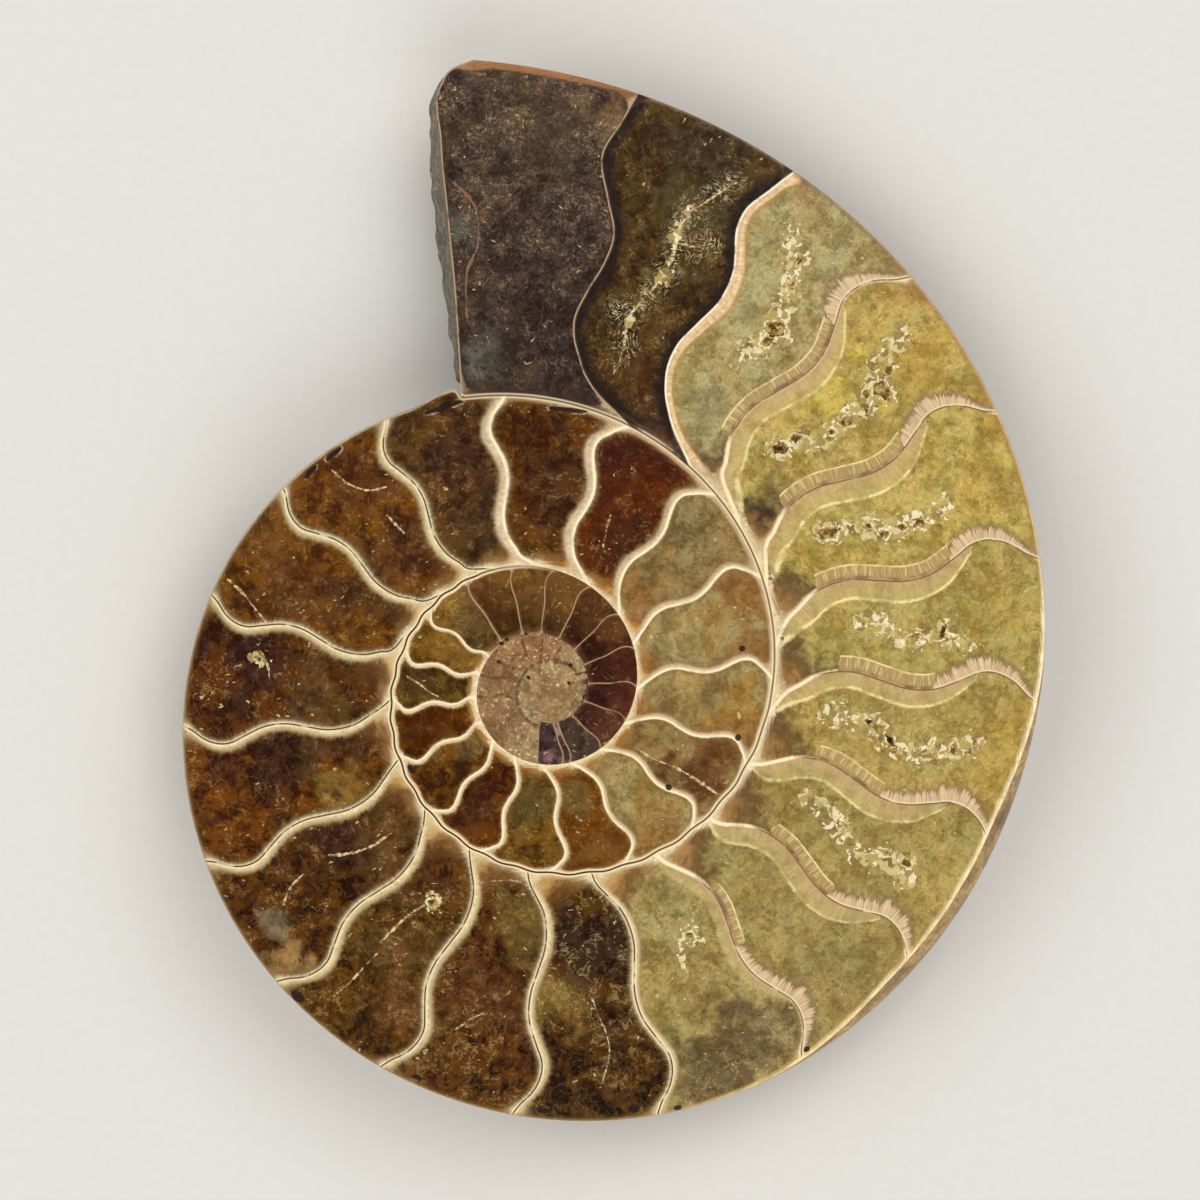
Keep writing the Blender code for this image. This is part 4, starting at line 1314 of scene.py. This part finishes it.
def crooked_grain():
    """A shader group for the grain of stone: patches, crooked strokes, grains, sheaves of needles."""
    tree = bpy.data.node_groups.new("crooked_grain", "ShaderNodeTree")
    tree.interface.new_socket("Place", in_out="INPUT", socket_type="NodeSocketVector")
    for name, value in (("Scale", 1.0), ("Crook", 2.0), ("Cover", 0.5)):
        socket = tree.interface.new_socket(name, in_out="INPUT", socket_type="NodeSocketFloat")
        socket.default_value = value
    for name in ("Patches", "Strokes", "Grains", "Sheaves"):
        tree.interface.new_socket(name, in_out="OUTPUT", socket_type="NodeSocketFloat")
    mix = Recipe(tree)
    given = tree.nodes.new("NodeGroupInput").outputs
    made = tree.nodes.new("NodeGroupOutput").inputs
    scaled = {0: given["Place"], "Scale": given["Scale"]}
    place = mix.node("VectorMath", scaled, operation="SCALE").outputs[0]
    crooked = mix.pushed(place, given["Crook"], 0.9)
    tree.links.new(mix.ramp(mix.noise(crooked, 0.75, 4.0, 0.62), 0.34, 0.66), made["Patches"])
    line = mix.sum("ABSOLUTE", mix.sum("SUBTRACT", mix.noise(crooked, 1.5, 2.0, 0.6), 0.5))
    bare = mix.sum("SUBTRACT", 0.75, mix.times(given["Cover"], 0.4))
    shown = mix.ramp(mix.sum("SUBTRACT", mix.noise(place, 1.3, 2.0), bare), 0.0, 0.08)
    tree.links.new(mix.times(mix.ramp(line, 0.01, 0.05, 1.0, 0.0), shown), made["Strokes"])
    tree.links.new(mix.ramp(mix.noise(place, 3.4, 2.0, 0.65), 0.32, 0.68), made["Grains"])

    # Each patch has its needles laid in a direction of its own.
    pick = mix.node("SeparateColor", {0: mix.cells(crooked, 0.8, "Color")}).outputs
    angle = mix.times(pick[0], 6.283)
    x, y, _ = mix.node("SeparateXYZ", {0: place}).outputs
    right, up = mix.sum("COSINE", angle), mix.sum("SINE", angle)
    down_needle = mix.plus(mix.times(x, right), mix.times(y, up))
    over_needle = mix.sum("SUBTRACT", mix.times(y, right), mix.times(x, up))
    laid = mix.place(mix.times(down_needle, 0.9), mix.times(over_needle, 4.5), mix.times(pick[1], 9.0))
    tree.links.new(mix.ramp(mix.noise(laid, 1.0, 2.0, 0.6), 0.34, 0.66), made["Sheaves"])
    return tree


def new_material(name, recipe=Recipe):
    material = bpy.data.materials.new(name)
    material.use_nodes = True
    shader = material.node_tree.nodes["Principled BSDF"]
    return material, recipe(material.node_tree), shader


GRAIN = crooked_grain()


class Face(Recipe):
    """A recipe that knows how far a place lies from the walls, and which grain lies there."""

    def __init__(self, tree):
        super().__init__(tree)
        self.where = self.millimetres()
        self.speck = self.kept("speck")
        self.from_older, self.from_younger = self.kept("from_older"), self.kept("from_younger")
        self.along_older, self.along_younger = self.kept("along_older"), self.kept("along_younger")
        self.from_outer = self.kept("from_outer")
        self.septum = self.sum("MINIMUM", self.from_older, self.from_younger)
        self.wall = self.sum("MINIMUM", self.kept("from_inner"), self.from_outer)
        self.close = self.sum("MINIMUM", self.septum, self.wall)

        # Streaks run square to the nearest wall, growth layers along it.
        is_before = self.sum("LESS_THAN", self.from_younger, self.from_older)
        is_wall = self.sum("LESS_THAN", self.wall, self.septum)
        along = self.between(is_before, self.along_older, self.along_younger)
        self.along = self.between(is_wall, along, self.kept("along_wall"))
        over_wall = self.place(self.times(self.along, 3.0), self.times(self.close, 0.5), 1.7)
        down_wall = self.place(self.times(self.along, 0.35), self.times(self.close, 4.5), 6.1)
        self.streak = self.noise(over_wall, 1.0, 3.0)
        self.layer = self.noise(down_wall, 1.0, 2.0)
        self.wave = self.sum("SUBTRACT", self.streak, 0.5)

        # Clouds, patches and fine grain, and where the lining's ragged edge runs.
        self.bent = self.pushed(self.where, 2.2, 0.7)
        self.cloud = self.noise(self.where, 0.28, 3.0)
        self.mottle = self.noise(self.bent, 0.75, 3.0, 0.55)
        cover = self.plus(self.times(self.speck, 0.45), 0.4)
        pale_place = {"Place": self.where, "Scale": 0.8, "Crook": 1.3, "Cover": cover}
        self.pale_grain = self.group(GRAIN, pale_place)
        flipped = self.stretched(self.where, -1.0, 1.0, 1.0)
        dark_place = {"Place": flipped, "Scale": 1.4, "Crook": 1.2, "Cover": 0.6}
        self.dark_grain = self.group(GRAIN, dark_place)
        self.fine = self.pale_grain["Grains"]
        fuzz = self.ramp(self.noise(self.bent, 2.1, 3.0, 0.7), 0.3, 0.7)
        self.fuzz = self.plus(self.times(self.fine, 0.3), fuzz, -0.65)
        gathered = self.plus(self.cloud, self.times(self.mottle, 0.5))
        self.gathered = self.ramp(gathered, 0.68, 0.86, 0.25, 1.0)
        ragged = self.times(self.wave, 2.0, self.kept("ragged"))
        self.edge = self.plus(self.kept("filling_depth"), ragged)

    def comb(self, along, away, pitch, seed):
        """Fine strokes square to a septum."""
        place = self.place(self.times(along, pitch), self.times(away, 0.35), seed)
        return self.noise(place, 1.0, 3.0, 0.65)


def filling(face):
    """Clouds and sheaves of needles, then fine grain, pale strokes and dark ones, and crumbs."""
    own, glint = face.kept("filling", "Color"), face.kept("glint", "Color")
    cleft = face.node("SeparateColor", {0: face.cells(face.bent, 0.9, "Color")}).outputs[0]
    light = face.plus(face.times(face.mottle, 1.3), face.times(cleft, 0.12), face.times(face.cloud, 0.9))
    light = face.ramp(face.plus(light, face.times(face.pale_grain["Sheaves"], 0.1)), 0.92, 1.44)
    body = face.colour(face.times(light, face.kept("grain")), own, glint)
    tint = face.ramp(face.noise(face.where, 0.19, 3.0, 0.6), 0.36, 0.64)
    tint = face.colour(tint, (247, 252, 250), (255, 248, 234))
    body = face.colour(1.0, body, tint, "MULTIPLY")
    rough = face.times(face.fuzz, face.plus(face.times(face.speck, 0.45), 0.1))
    body = face.dimmed(body, face.plus(rough, 1.0))
    strokes = face.times(face.dark_grain["Strokes"], face.ramp(face.mottle, 0.62, 0.45, 0.1, 0.6))
    body = face.colour(strokes, body, face.dimmed(own, 0.45))
    pale = face.colour(0.32, glint, (222, 192, 124))
    shown = face.plus(face.times(face.speck, 0.6), 0.27)
    body = face.colour(face.times(face.pale_grain["Strokes"], face.gathered, shown), body, pale)
    frost = face.ramp(face.pale_grain["Sheaves"], 0.7, 0.95)
    frost = face.times(frost, face.ramp(face.dark_grain["Patches"], 0.5, 0.8))
    body = face.colour(face.times(frost, face.gathered, 0.4), body, pale)
    crumb_place = face.stretched(face.bent, 1.0, 1.8, 1.0)
    crumb = face.node("SeparateColor", {0: face.cells(crumb_place, 2.0, "Color")}).outputs[1]
    likely = face.times(face.speck, face.ramp(face.cloud, 0.45, 0.65, 0.02, 0.13))
    rounded = face.ramp(face.cells(crumb_place, 2.0), 0.15, 0.45, 1.0, 0.0)
    is_crumb = face.times(face.sum("LESS_THAN", crumb, likely), rounded)
    return face.colour(face.times(is_crumb, 0.7), body, (220, 196, 144))


def mud(face, body):
    """The body chamber is speckled tan towards its outer wall, and the core is clay."""
    chamber, core = face.kept("body_chamber"), face.kept("core")
    tan = face.times(chamber, face.ramp(face.kept("across"), 0.15, 0.8, 0.25, 1.0))
    tan = face.times(face.ramp(face.noise(face.bent, 3.0, 3.0, 0.75), 0.52, 0.68), tan)
    body = face.colour(face.times(tan, face.gathered, 0.9), body, (150, 126, 96))
    dark = face.times(face.ramp(face.noise(face.where, 2.2, 3.0, 0.7), 0.5, 0.3), chamber)
    body = face.colour(face.times(dark, 0.6), body, (36, 28, 27))
    clay_grain = face.ramp(face.noise(face.where, 2.6, 3.0, 0.75), 0.34, 0.66, 0.8, 1.12)
    body = face.colour(core, body, face.dimmed(body, clay_grain))
    bright = face.times(core, face.ramp(face.noise(face.where, 2.6, 1.0), 0.64, 0.72))
    bright = face.times(bright, face.ramp(face.cloud, 0.4, 0.6, 0.1, 0.7))
    return face.colour(bright, body, (224, 206, 172))


def glow_and_corner(face, body):
    """The glow where lining turns to filling, and the warm wedge in the inner corners."""
    reach = face.kept("glow_reach")
    glow = face.sum("DIVIDE", face.plus(face.edge, face.times(face.wave, reach, 1.4)), reach)
    tone = face.dimmed(face.kept("glow", "Color"), face.ramp(face.streak, 0.3, 0.7, 0.78, 1.2))
    glow = face.times(face.ramp(glow, 0.0, 1.0, 1.0, 0.0), face.kept("glow_share"))
    body = face.colour(glow, body, tone)
    uneven = face.times(face.sum("SUBTRACT", face.mottle, 0.5), 0.9)
    wedge = face.plus(face.kept("wedge"), uneven, face.times(face.wave, 0.25))
    smoke = face.dimmed(face.kept("smoke_tone", "Color"), face.ramp(face.fine, 0.2, 0.8, 0.82, 1.14))
    body = face.colour(face.ramp(wedge, 0.6, 1.3, 0.85, 0.0), body, smoke)
    rays = face.ramp(face.streak, 0.32, 0.68, 0.66, 1.34)
    amber = face.dimmed(face.kept("wedge_tone", "Color"), rays)
    return face.colour(face.ramp(wedge, 0.3, 0.8, 1.0, 0.0), body, amber)


def lining(face, body):
    """The fibrous lining: bright cream beside the septum, then tan hairs with a ragged end."""
    own, line_edge = face.kept("lining", "Color"), face.kept("line_edge")
    hairs = face.comb(face.along, face.close, 8.0, 5.3)
    light = face.ramp(face.streak, 0.3, 0.7, 0.88, 1.08)
    light = face.times(light, face.ramp(face.layer, 0.35, 0.65, 0.86, 1.08))
    light = face.times(light, face.plus(face.times(face.fuzz, 0.3), 1.0))
    cream = face.dimmed(own, face.times(light, face.ramp(hairs, 0.3, 0.7, 0.84, 1.12)))
    ragged = face.times(face.sum("SUBTRACT", hairs, 0.5), line_edge, 0.7)
    ragged = face.plus(face.edge, ragged)
    faded = face.times(face.ramp(ragged, -0.42, 0.05, 0.0, 0.75), line_edge)
    cream = face.colour(faded, cream, face.dimmed(own, 0.62))
    bright = face.times(face.ramp(face.septum, 0.12, 0.36, 1.0, 0.0), line_edge)
    bright = face.times(bright, face.ramp(face.layer, 0.3, 0.6, 0.6, 1.0))
    cream = face.colour(bright, cream, (240, 222, 178))
    softened = face.sum("DIVIDE", ragged, face.kept("softness"))
    return face.colour(face.ramp(softened, -1.0, 1.2, 1.0, 0.0), body, cream)


def bands(face, body):
    """A tan band on both sides of each septum, closed off by a bright line."""
    patchy = face.ramp(face.noise(face.where, 0.8, 2.0), 0.36, 0.6, 0.35, 1.0)
    width, away = face.kept("band_before"), face.from_younger
    edge = face.sum("SUBTRACT", away, width)
    there = face.ramp(width, 0.2, 0.6)
    shown = face.times(face.ramp(edge, -0.3, 0.1, 1.0, 0.0), there, face.ramp(patchy, 0.4, 1.0, 0.45, 0.75))
    inner_half = face.sum("DIVIDE", away, face.sum("MAXIMUM", width, 0.1))
    tone = face.colour(face.ramp(inner_half, 0.35, 0.75, 1.0, 0.0), (190, 168, 108), (192, 164, 116))
    ticks = face.comb(face.along_younger, away, 5.0, 2.2)
    body = face.colour(shown, body, face.dimmed(tone, face.ramp(ticks, 0.3, 0.7, 0.86, 1.14)))
    line = face.sum("ABSOLUTE", face.plus(edge, face.times(face.fine, 0.08)))
    line = face.times(face.ramp(line, 0.05, 0.24, 1.0, 0.0), there, face.kept("band_edge"))
    body = face.colour(face.times(line, face.ramp(patchy, 0.35, 1.0, 0.3, 0.9)), body, (236, 214, 156))

    width, away = face.kept("band_after"), face.from_older
    edge = face.sum("SUBTRACT", away, width)
    there = face.ramp(width, 0.8, 0.95)
    ticks = face.ramp(face.comb(face.along_older, away, 5.0, 3.9), 0.46, 0.66)
    tone = face.colour(face.times(ticks, face.ramp(away, 0.1, 0.6)), (164, 136, 88), (208, 182, 128))
    smoke = face.ramp(face.noise(face.where, 0.7, 3.0), 0.4, 0.62)
    tone = face.colour(face.times(face.ramp(away, 0.15, 0.55, 1.0, 0.0), smoke), tone, (104, 82, 58))
    body = face.colour(face.times(face.ramp(edge, -0.1, 0.05, 0.85, 0.0), there), body, tone)
    line = face.ramp(face.sum("ABSOLUTE", face.plus(edge, 0.06)), 0.03, 0.14, 1.0, 0.0)
    line = face.times(line, there, face.ramp(patchy, 0.35, 1.0, 0.45, 1.0))
    return face.colour(line, body, (228, 208, 146))


def fur(face, body):
    """Further out, pinkish fur on the septum's younger side, with a dark edge of shade."""
    longest, away = face.kept("fur"), face.from_older
    there = face.ramp(longest, 0.2, 0.5)
    hair = face.comb(face.along_older, away, 9.0, 4.4)
    tuft = face.comb(face.along_older, away, 2.2, 7.4)
    length = face.plus(face.ramp(hair, 0.3, 0.7, 0.0, 0.3), face.ramp(tuft, 0.3, 0.7, 0.35, 0.65))
    edge = face.sum("SUBTRACT", away, face.times(longest, length))
    body = face.colour(face.times(face.ramp(edge, 0.0, 0.9, 0.8, 0.0), there), body, (122, 98, 66))
    tone = face.colour(face.ramp(hair, 0.36, 0.64), (182, 152, 114), (216, 190, 150))
    body = face.colour(face.times(face.ramp(edge, -0.3, 0.25, 1.0, 0.0), there), body, tone)
    root = face.times(face.ramp(away, 0.12, 0.32, 0.8, 0.0), there)
    return face.colour(root, body, (232, 212, 170))


def walls(face, body):
    """Septa and wall: a thin line of shell, with a bright edge where it is dark itself."""
    line = face.ramp(face.sum("SUBTRACT", face.septum, face.kept("line_half")), -0.05, 0.05, 1.0, 0.0)
    line = face.times(line, face.ramp(face.noise(face.where, 0.6, 2.0), 0.34, 0.46, 0.35, 1.0))
    body = face.colour(line, body, face.kept("shell", "Color"))
    wall_line = face.kept("wall_line")
    for near, far, strength, tone in ((0.16, 0.34, 0.8, (236, 216, 172)), (0.05, 0.14, 1.0, (68, 44, 26))):
        line = face.times(face.ramp(face.wall, near, far, strength, 0.0), wall_line)
        body = face.colour(line, body, tone)
    # The rim's bright line: the shell's pale edge, with a painted highlight along it.
    ragged = face.comb(face.kept("along_wall"), face.from_outer, 3.0, 5.5)
    ragged = face.ramp(ragged, 0.32, 0.68, 0.15, 1.7)
    rim = face.sum("SUBTRACT", face.from_outer, face.times(face.kept("rim_width"), ragged))
    rim = face.times(face.ramp(rim, -0.05, 0.1, 1.0, 0.0), face.kept("rim"))
    tone = face.dimmed(face.kept("rim_tone", "Color"), face.ramp(face.mottle, 0.35, 0.65, 0.8, 1.08))
    return face.colour(rim, body, tone)


def needles_and_grooves(face, body):
    """Black margins and sheaves of pale needles round a crack; and the core's dark grooves."""
    here = face.kept("needles")
    sheaf = face.plus(face.kept("crack"), face.times(face.mottle, 3.0))
    sheaf = face.times(face.ramp(sheaf, 1.2, 3.6, 1.0, 0.0), here)
    needle = face.times(face.ramp(face.dark_grain["Sheaves"], 0.6, 0.95), face.ramp(face.septum, 0.8, 1.6))
    needle = face.times(needle, sheaf, face.ramp(face.fine, 0.2, 0.8, 0.35, 1.0))
    body = face.colour(needle, body, (196, 182, 138))
    margin = face.plus(face.septum, face.times(face.mottle, 1.2), face.times(face.fine, 0.3))
    margin = face.times(face.ramp(margin, 1.2, 2.7, 1.0, 0.0), here)
    margin = face.times(margin, face.ramp(face.from_older, 0.0, 0.25, 0.0, 0.92))
    body = face.colour(margin, body, (38, 30, 27))
    groove = face.plus(face.kept("groove"), face.times(face.sum("SUBTRACT", face.fine, 0.5), 0.06))
    return face.colour(face.ramp(groove, 0.06, 0.24, 0.9, 0.0), body, (94, 70, 46))


def cracks(face, body, kind):
    """Healed cracks: thin, broken lines of crumbs, duller in the body chamber's mud."""
    crumbs = face.times(face.sum("SUBTRACT", face.noise(face.where, 2.4, 3.0, 0.7), 0.5), 0.35)
    gaps = face.times(face.sum("SUBTRACT", face.noise(face.where, 0.6, 3.0), 0.5), 0.45)
    crack = face.ramp(face.plus(face.kept("crack"), crumbs, gaps), -0.05, 0.06, 0.85, 0.0)
    tone = face.colour(face.ramp(face.fine, 0.3, 0.7), (152, 120, 78), (222, 200, 154))
    if kind == DARK:
        tone = face.colour(face.kept("body_chamber"), tone, (134, 100, 76))
    return face.colour(crack, body, tone)


def crystals(face, body):
    """Shards and chips of crystal round the hollows and along the chains, and the hollows; the shards and
    the hollows' insides have painted light and shade on their facets.
    """
    hollow = face.kept("hollow")
    nearby = face.sum("MINIMUM", face.plus(face.times(hollow, 1.1), 0.15), face.kept("chain"))
    warped = face.pushed(face.where, 1.2, 1.3)
    shards = face.node("TexVoronoi", {"Vector": warped, "Scale": 1.05}).outputs
    shard = face.node("SeparateColor", {0: shards["Color"]}).outputs
    chip = face.node("SeparateColor", {0: face.cells(warped, 3.6, "Color")}).outputs

    # Each shard is split into a side of painted shade and a side of painted light, along a line of its own
    # direction, so that it looks faceted.
    from_middle = face.node("VectorMath", {0: warped, 1: shards["Position"]}, operation="SUBTRACT")
    tilt = face.node("VectorMath", {0: shards["Color"], 1: (0.5, 0.5, 0.5)}, operation="SUBTRACT")
    sides = {0: from_middle.outputs[0], 1: tilt.outputs[0]}
    painted_facet_light = face.ramp(face.node("VectorMath", sides, operation="DOT_PRODUCT").outputs[1], -0.03, 0.03)
    likely = face.plus(nearby, face.times(face.sum("SUBTRACT", face.mottle, 0.5), 1.4))
    likely = face.ramp(likely, 0.1, 1.3, 1.0, 0.0)
    is_shard = face.sum("LESS_THAN", shard[2], face.times(likely, 0.9))
    shaded_facet_tone = face.colour(shard[1], (112, 88, 42), (182, 158, 92))
    lit_facet_tone = face.colour(shard[0], (196, 174, 110), (244, 232, 192))
    tone = face.colour(face.plus(face.times(painted_facet_light, 0.85), face.times(face.fine, 0.15)), shaded_facet_tone, lit_facet_tone)
    body = face.colour(face.times(is_shard, 0.85), body, tone)
    is_chip = face.sum("LESS_THAN", chip[0], face.times(likely, 0.1))
    tone = face.colour(face.ramp(chip[1], 0.3, 0.5), (112, 88, 44), (240, 228, 188))
    body = face.colour(face.times(is_chip, 0.8), body, tone)
    crust = face.ramp(face.plus(chip[2], face.mottle), 0.85, 1.35, -0.4, 0.8)
    crust = face.sum("SUBTRACT", hollow, face.times(face.kept("druse"), crust))
    body = face.colour(face.ramp(crust, -0.05, 0.05, 0.9, 0.0), body, (230, 214, 168))
    inside_hollow = face.ramp(hollow, -0.1, 0.0, 1.0, 0.0)
    # Inside the hollows, painted light and shade of facets too, over the real pits.
    tone = face.colour(painted_facet_light, (150, 120, 62), (232, 210, 150))
    tone = face.dimmed(tone, face.ramp(chip[1], 0.1, 0.9, 0.8, 1.15))
    return face.colour(inside_hollow, body, tone), inside_hollow


def stains_and_hole_shade(face, body):
    """The siphuncle's black marks, some with a pale ring: black where the stone is stained, and painted
    shade where a hole is empty, as the holes are drawn flat.
    """
    stain = face.kept("stain")
    ring = face.ramp(face.sum("ABSOLUTE", face.sum("SUBTRACT", stain, 0.2)), 0.02, 0.12, 1.0, 0.0)
    ring = face.times(ring, face.kept("stain_ring"), face.ramp(face.mottle, 0.48, 0.62, 0.0, 0.6))
    body = face.colour(ring, body, (196, 180, 150))
    # Black inside each outline: stained stone, and painted shade where the hole is empty.
    return face.colour(face.ramp(stain, 0.0, 0.09, 0.95, 0.0), body, (42, 34, 30))


def polished(name, kind):
    """Polished calcite; only the marks that this kind of chamber can have are worked out."""
    material, face, shader = new_material(name, Face)
    body = filling(face)
    if kind == DARK:
        body = mud(face, body)
    body = lining(face, glow_and_corner(face, body))
    if kind == BANDED:
        body = fur(face, bands(face, body))
    body = walls(face, body)
    if kind == DARK:
        body = needles_and_grooves(face, body)
    body = cracks(face, body, kind)
    gloss = face.ramp(face.noise(face.where, 1.2, 3.0), 0.3, 0.7, 0.12, 0.2)
    if kind != PLAIN:
        body, inside_hollow = crystals(face, body)
        gloss = face.plus(gloss, face.times(inside_hollow, 0.3))
    face.tree.links.new(stains_and_hole_shade(face, body), shader.inputs["Base Color"])
    face.tree.links.new(gloss, shader.inputs["Roughness"])
    shader.inputs["IOR"].default_value = 1.5
    waves = {"Height": face.noise(face.where, 0.7, 1.0), "Strength": 0.03, "Distance": 0.0002}
    face.tree.links.new(face.node("Bump", waves).outputs[0], shader.inputs["Normal"])
    return material


mesh.materials.append(polished("polished_calcite", PLAIN))
mesh.materials.append(polished("banded_calcite", BANDED))
mesh.materials.append(polished("dark_calcite", DARK))

# ------------------------------------------------------------------------------------------
# THE SHELL'S MATERIALS. Outside, the ochre-brown shell with growth lines and a dull gloss; over
# the broken mouth, grey-brown stone, dull and grainy.
# ------------------------------------------------------------------------------------------
shell_stone, mix, shader = new_material("ochre_shell")
where = mix.millimetres()
growth = mix.kept("growth_turn")
grain = mix.group(GRAIN, {"Place": where, "Scale": 0.55, "Crook": 1.4, "Cover": 0.5})
down = mix.kept("flank_place")
broad = mix.noise(mix.place(mix.times(growth, 0.9), mix.times(down, 1.4)), 1.0, 4.0, 0.6)
lines = mix.noise(mix.place(mix.times(growth, 3.2), mix.times(down, 2.0), 4.0), 1.0, 3.0)
body = mix.colour(grain["Patches"], (146, 110, 60), (206, 168, 100))
body = mix.colour(mix.ramp(broad, 0.4, 0.75, 0.0, 0.35), body, (216, 186, 130))
body = mix.dimmed(body, mix.ramp(lines, 0.36, 0.6, 0.78, 1.06))
old_stain = mix.ramp(mix.noise(where, 0.1, 5.0, 0.65), 0.48, 0.64, 0.0, 0.8)
body = mix.colour(old_stain, body, (120, 82, 48))
paler = mix.ramp(mix.noise(mix.stretched(where, 1.0, 1.0, 2.0), 0.16, 4.0, 0.6), 0.56, 0.7, 0.0, 0.4)
body = mix.colour(paler, body, (214, 188, 140))
body = mix.dimmed(body, mix.ramp(grain["Grains"], 0.2, 0.8, 0.82, 1.12))
body = mix.colour(mix.times(grain["Strokes"], 0.5), body, (76, 56, 38))
mix.tree.links.new(body, shader.inputs["Base Color"])
mix.tree.links.new(mix.ramp(grain["Patches"], 0.0, 1.0, 0.32, 0.5), shader.inputs["Roughness"])
relief = mix.plus(broad, mix.times(lines, 0.5), mix.times(grain["Grains"], 0.3))
bump = mix.node("Bump", {"Height": relief, "Strength": 0.5, "Distance": 0.0004})
mix.tree.links.new(bump.outputs[0], shader.inputs["Normal"])

broken_stone, mix, shader = new_material("broken_mouth")
where = mix.millimetres()
grain = mix.group(GRAIN, {"Place": where, "Scale": 0.9, "Crook": 1.0, "Cover": 0.7})
patches = mix.noise(where, 0.3, 5.0, 0.7)
body = mix.colour(mix.ramp(patches, 0.3, 0.7), (72, 66, 58), (134, 124, 104))
body = mix.colour(mix.times(grain["Patches"], 0.5), body, (108, 98, 80))
body = mix.dimmed(body, mix.ramp(grain["Grains"], 0.1, 0.9, 0.7, 1.3))
body = mix.colour(mix.times(grain["Strokes"], 0.6), body, (176, 166, 140))
ragged = mix.times(mix.sum("SUBTRACT", grain["Grains"], 0.5), 0.4)
unbroken = mix.sum("SUBTRACT", mix.kept("broken"), ragged)
shell_edge = mix.colour(grain["Patches"], (132, 98, 54), (196, 158, 94))
body = mix.colour(mix.ramp(unbroken, 0.66, 0.8, 1.0, 0.0), body, shell_edge)
mix.tree.links.new(body, shader.inputs["Base Color"])
shader.inputs["Roughness"].default_value = 0.7
relief = mix.plus(patches, mix.times(grain["Grains"], 0.25), mix.times(grain["Patches"], 0.3))
bump = mix.node("Bump", {"Height": relief, "Strength": 0.8, "Distance": 0.0008})
mix.tree.links.new(bump.outputs[0], shader.inputs["Normal"])

mesh.materials.append(shell_stone)
mesh.materials.append(broken_stone)
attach(stone, "root")
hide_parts("ammonite_half")

# ------------------------------------------------------------------------------------------
# THE STAGE. A plain pale table, soft studio light from high on both sides, and the camera
# straight above the cut.
# ------------------------------------------------------------------------------------------
table = bpy.data.meshes.new("table")
table.from_pydata([(-1.5, -1.5, 0), (1.5, -1.5, 0), (1.5, 1.5, 0), (-1.5, 1.5, 0)], [], [(0, 1, 2, 3)])
floor = bpy.data.objects.new("table", table)
bpy.context.scene.collection.objects.link(floor)
pale, mix, shader = new_material("pale_table")
where = mix.millimetres()
body = mix.colour(mix.noise(where, 0.9, 3.0), (208, 205, 198), (213, 211, 205))
mix.tree.links.new(body, shader.inputs["Base Color"])
shader.inputs["Roughness"].default_value = 0.7
table.materials.append(pale)
floor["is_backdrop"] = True

world = bpy.data.worlds.new("studio")
bpy.context.scene.world = world
world.use_nodes = True
mix = Recipe(world.node_tree)
sky = world.node_tree.nodes["Background"]
sky.inputs["Color"].default_value = (1.0, 0.99, 0.97, 1.0)
up = mix.node("SeparateXYZ", {0: mix.node("TexCoord", {}).outputs["Generated"]}).outputs[2]
mix.tree.links.new(mix.ramp(up, 0.5, 0.85, 0.44, 0.02), sky.inputs["Strength"])
for name, place, size, power in (
    ("key_light", (0.5, 0.55, 1.15), 0.9, 9.4),
    ("left_light", (-0.75, 0.1, 1.05), 0.9, 7.8),
    ("low_light", (0.2, -0.75, 1.05), 0.9, 6.8),
):
    lamp = bpy.data.lights.new(name, "AREA")
    lamp.size, lamp.energy = size, power
    light = bpy.data.objects.new(name, lamp)
    light.location = place
    light.rotation_euler = (Vector((0, 0, 0)) - Vector(place)).to_track_quat("-Z", "Y").to_euler()
    bpy.context.scene.collection.objects.link(light)

lens = bpy.data.cameras.new("camera")
lens.sensor_width, lens.lens = 36.0, 100.0
camera = bpy.data.objects.new("camera", lens)
camera.location = (-0.00139, -0.00096, HEIGHT * MM + 0.120 / 36.0 * 100.0)
bpy.context.scene.collection.objects.link(camera)
bpy.context.scene.camera = camera
bpy.context.scene.view_settings.view_transform = "Standard"

low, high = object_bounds()
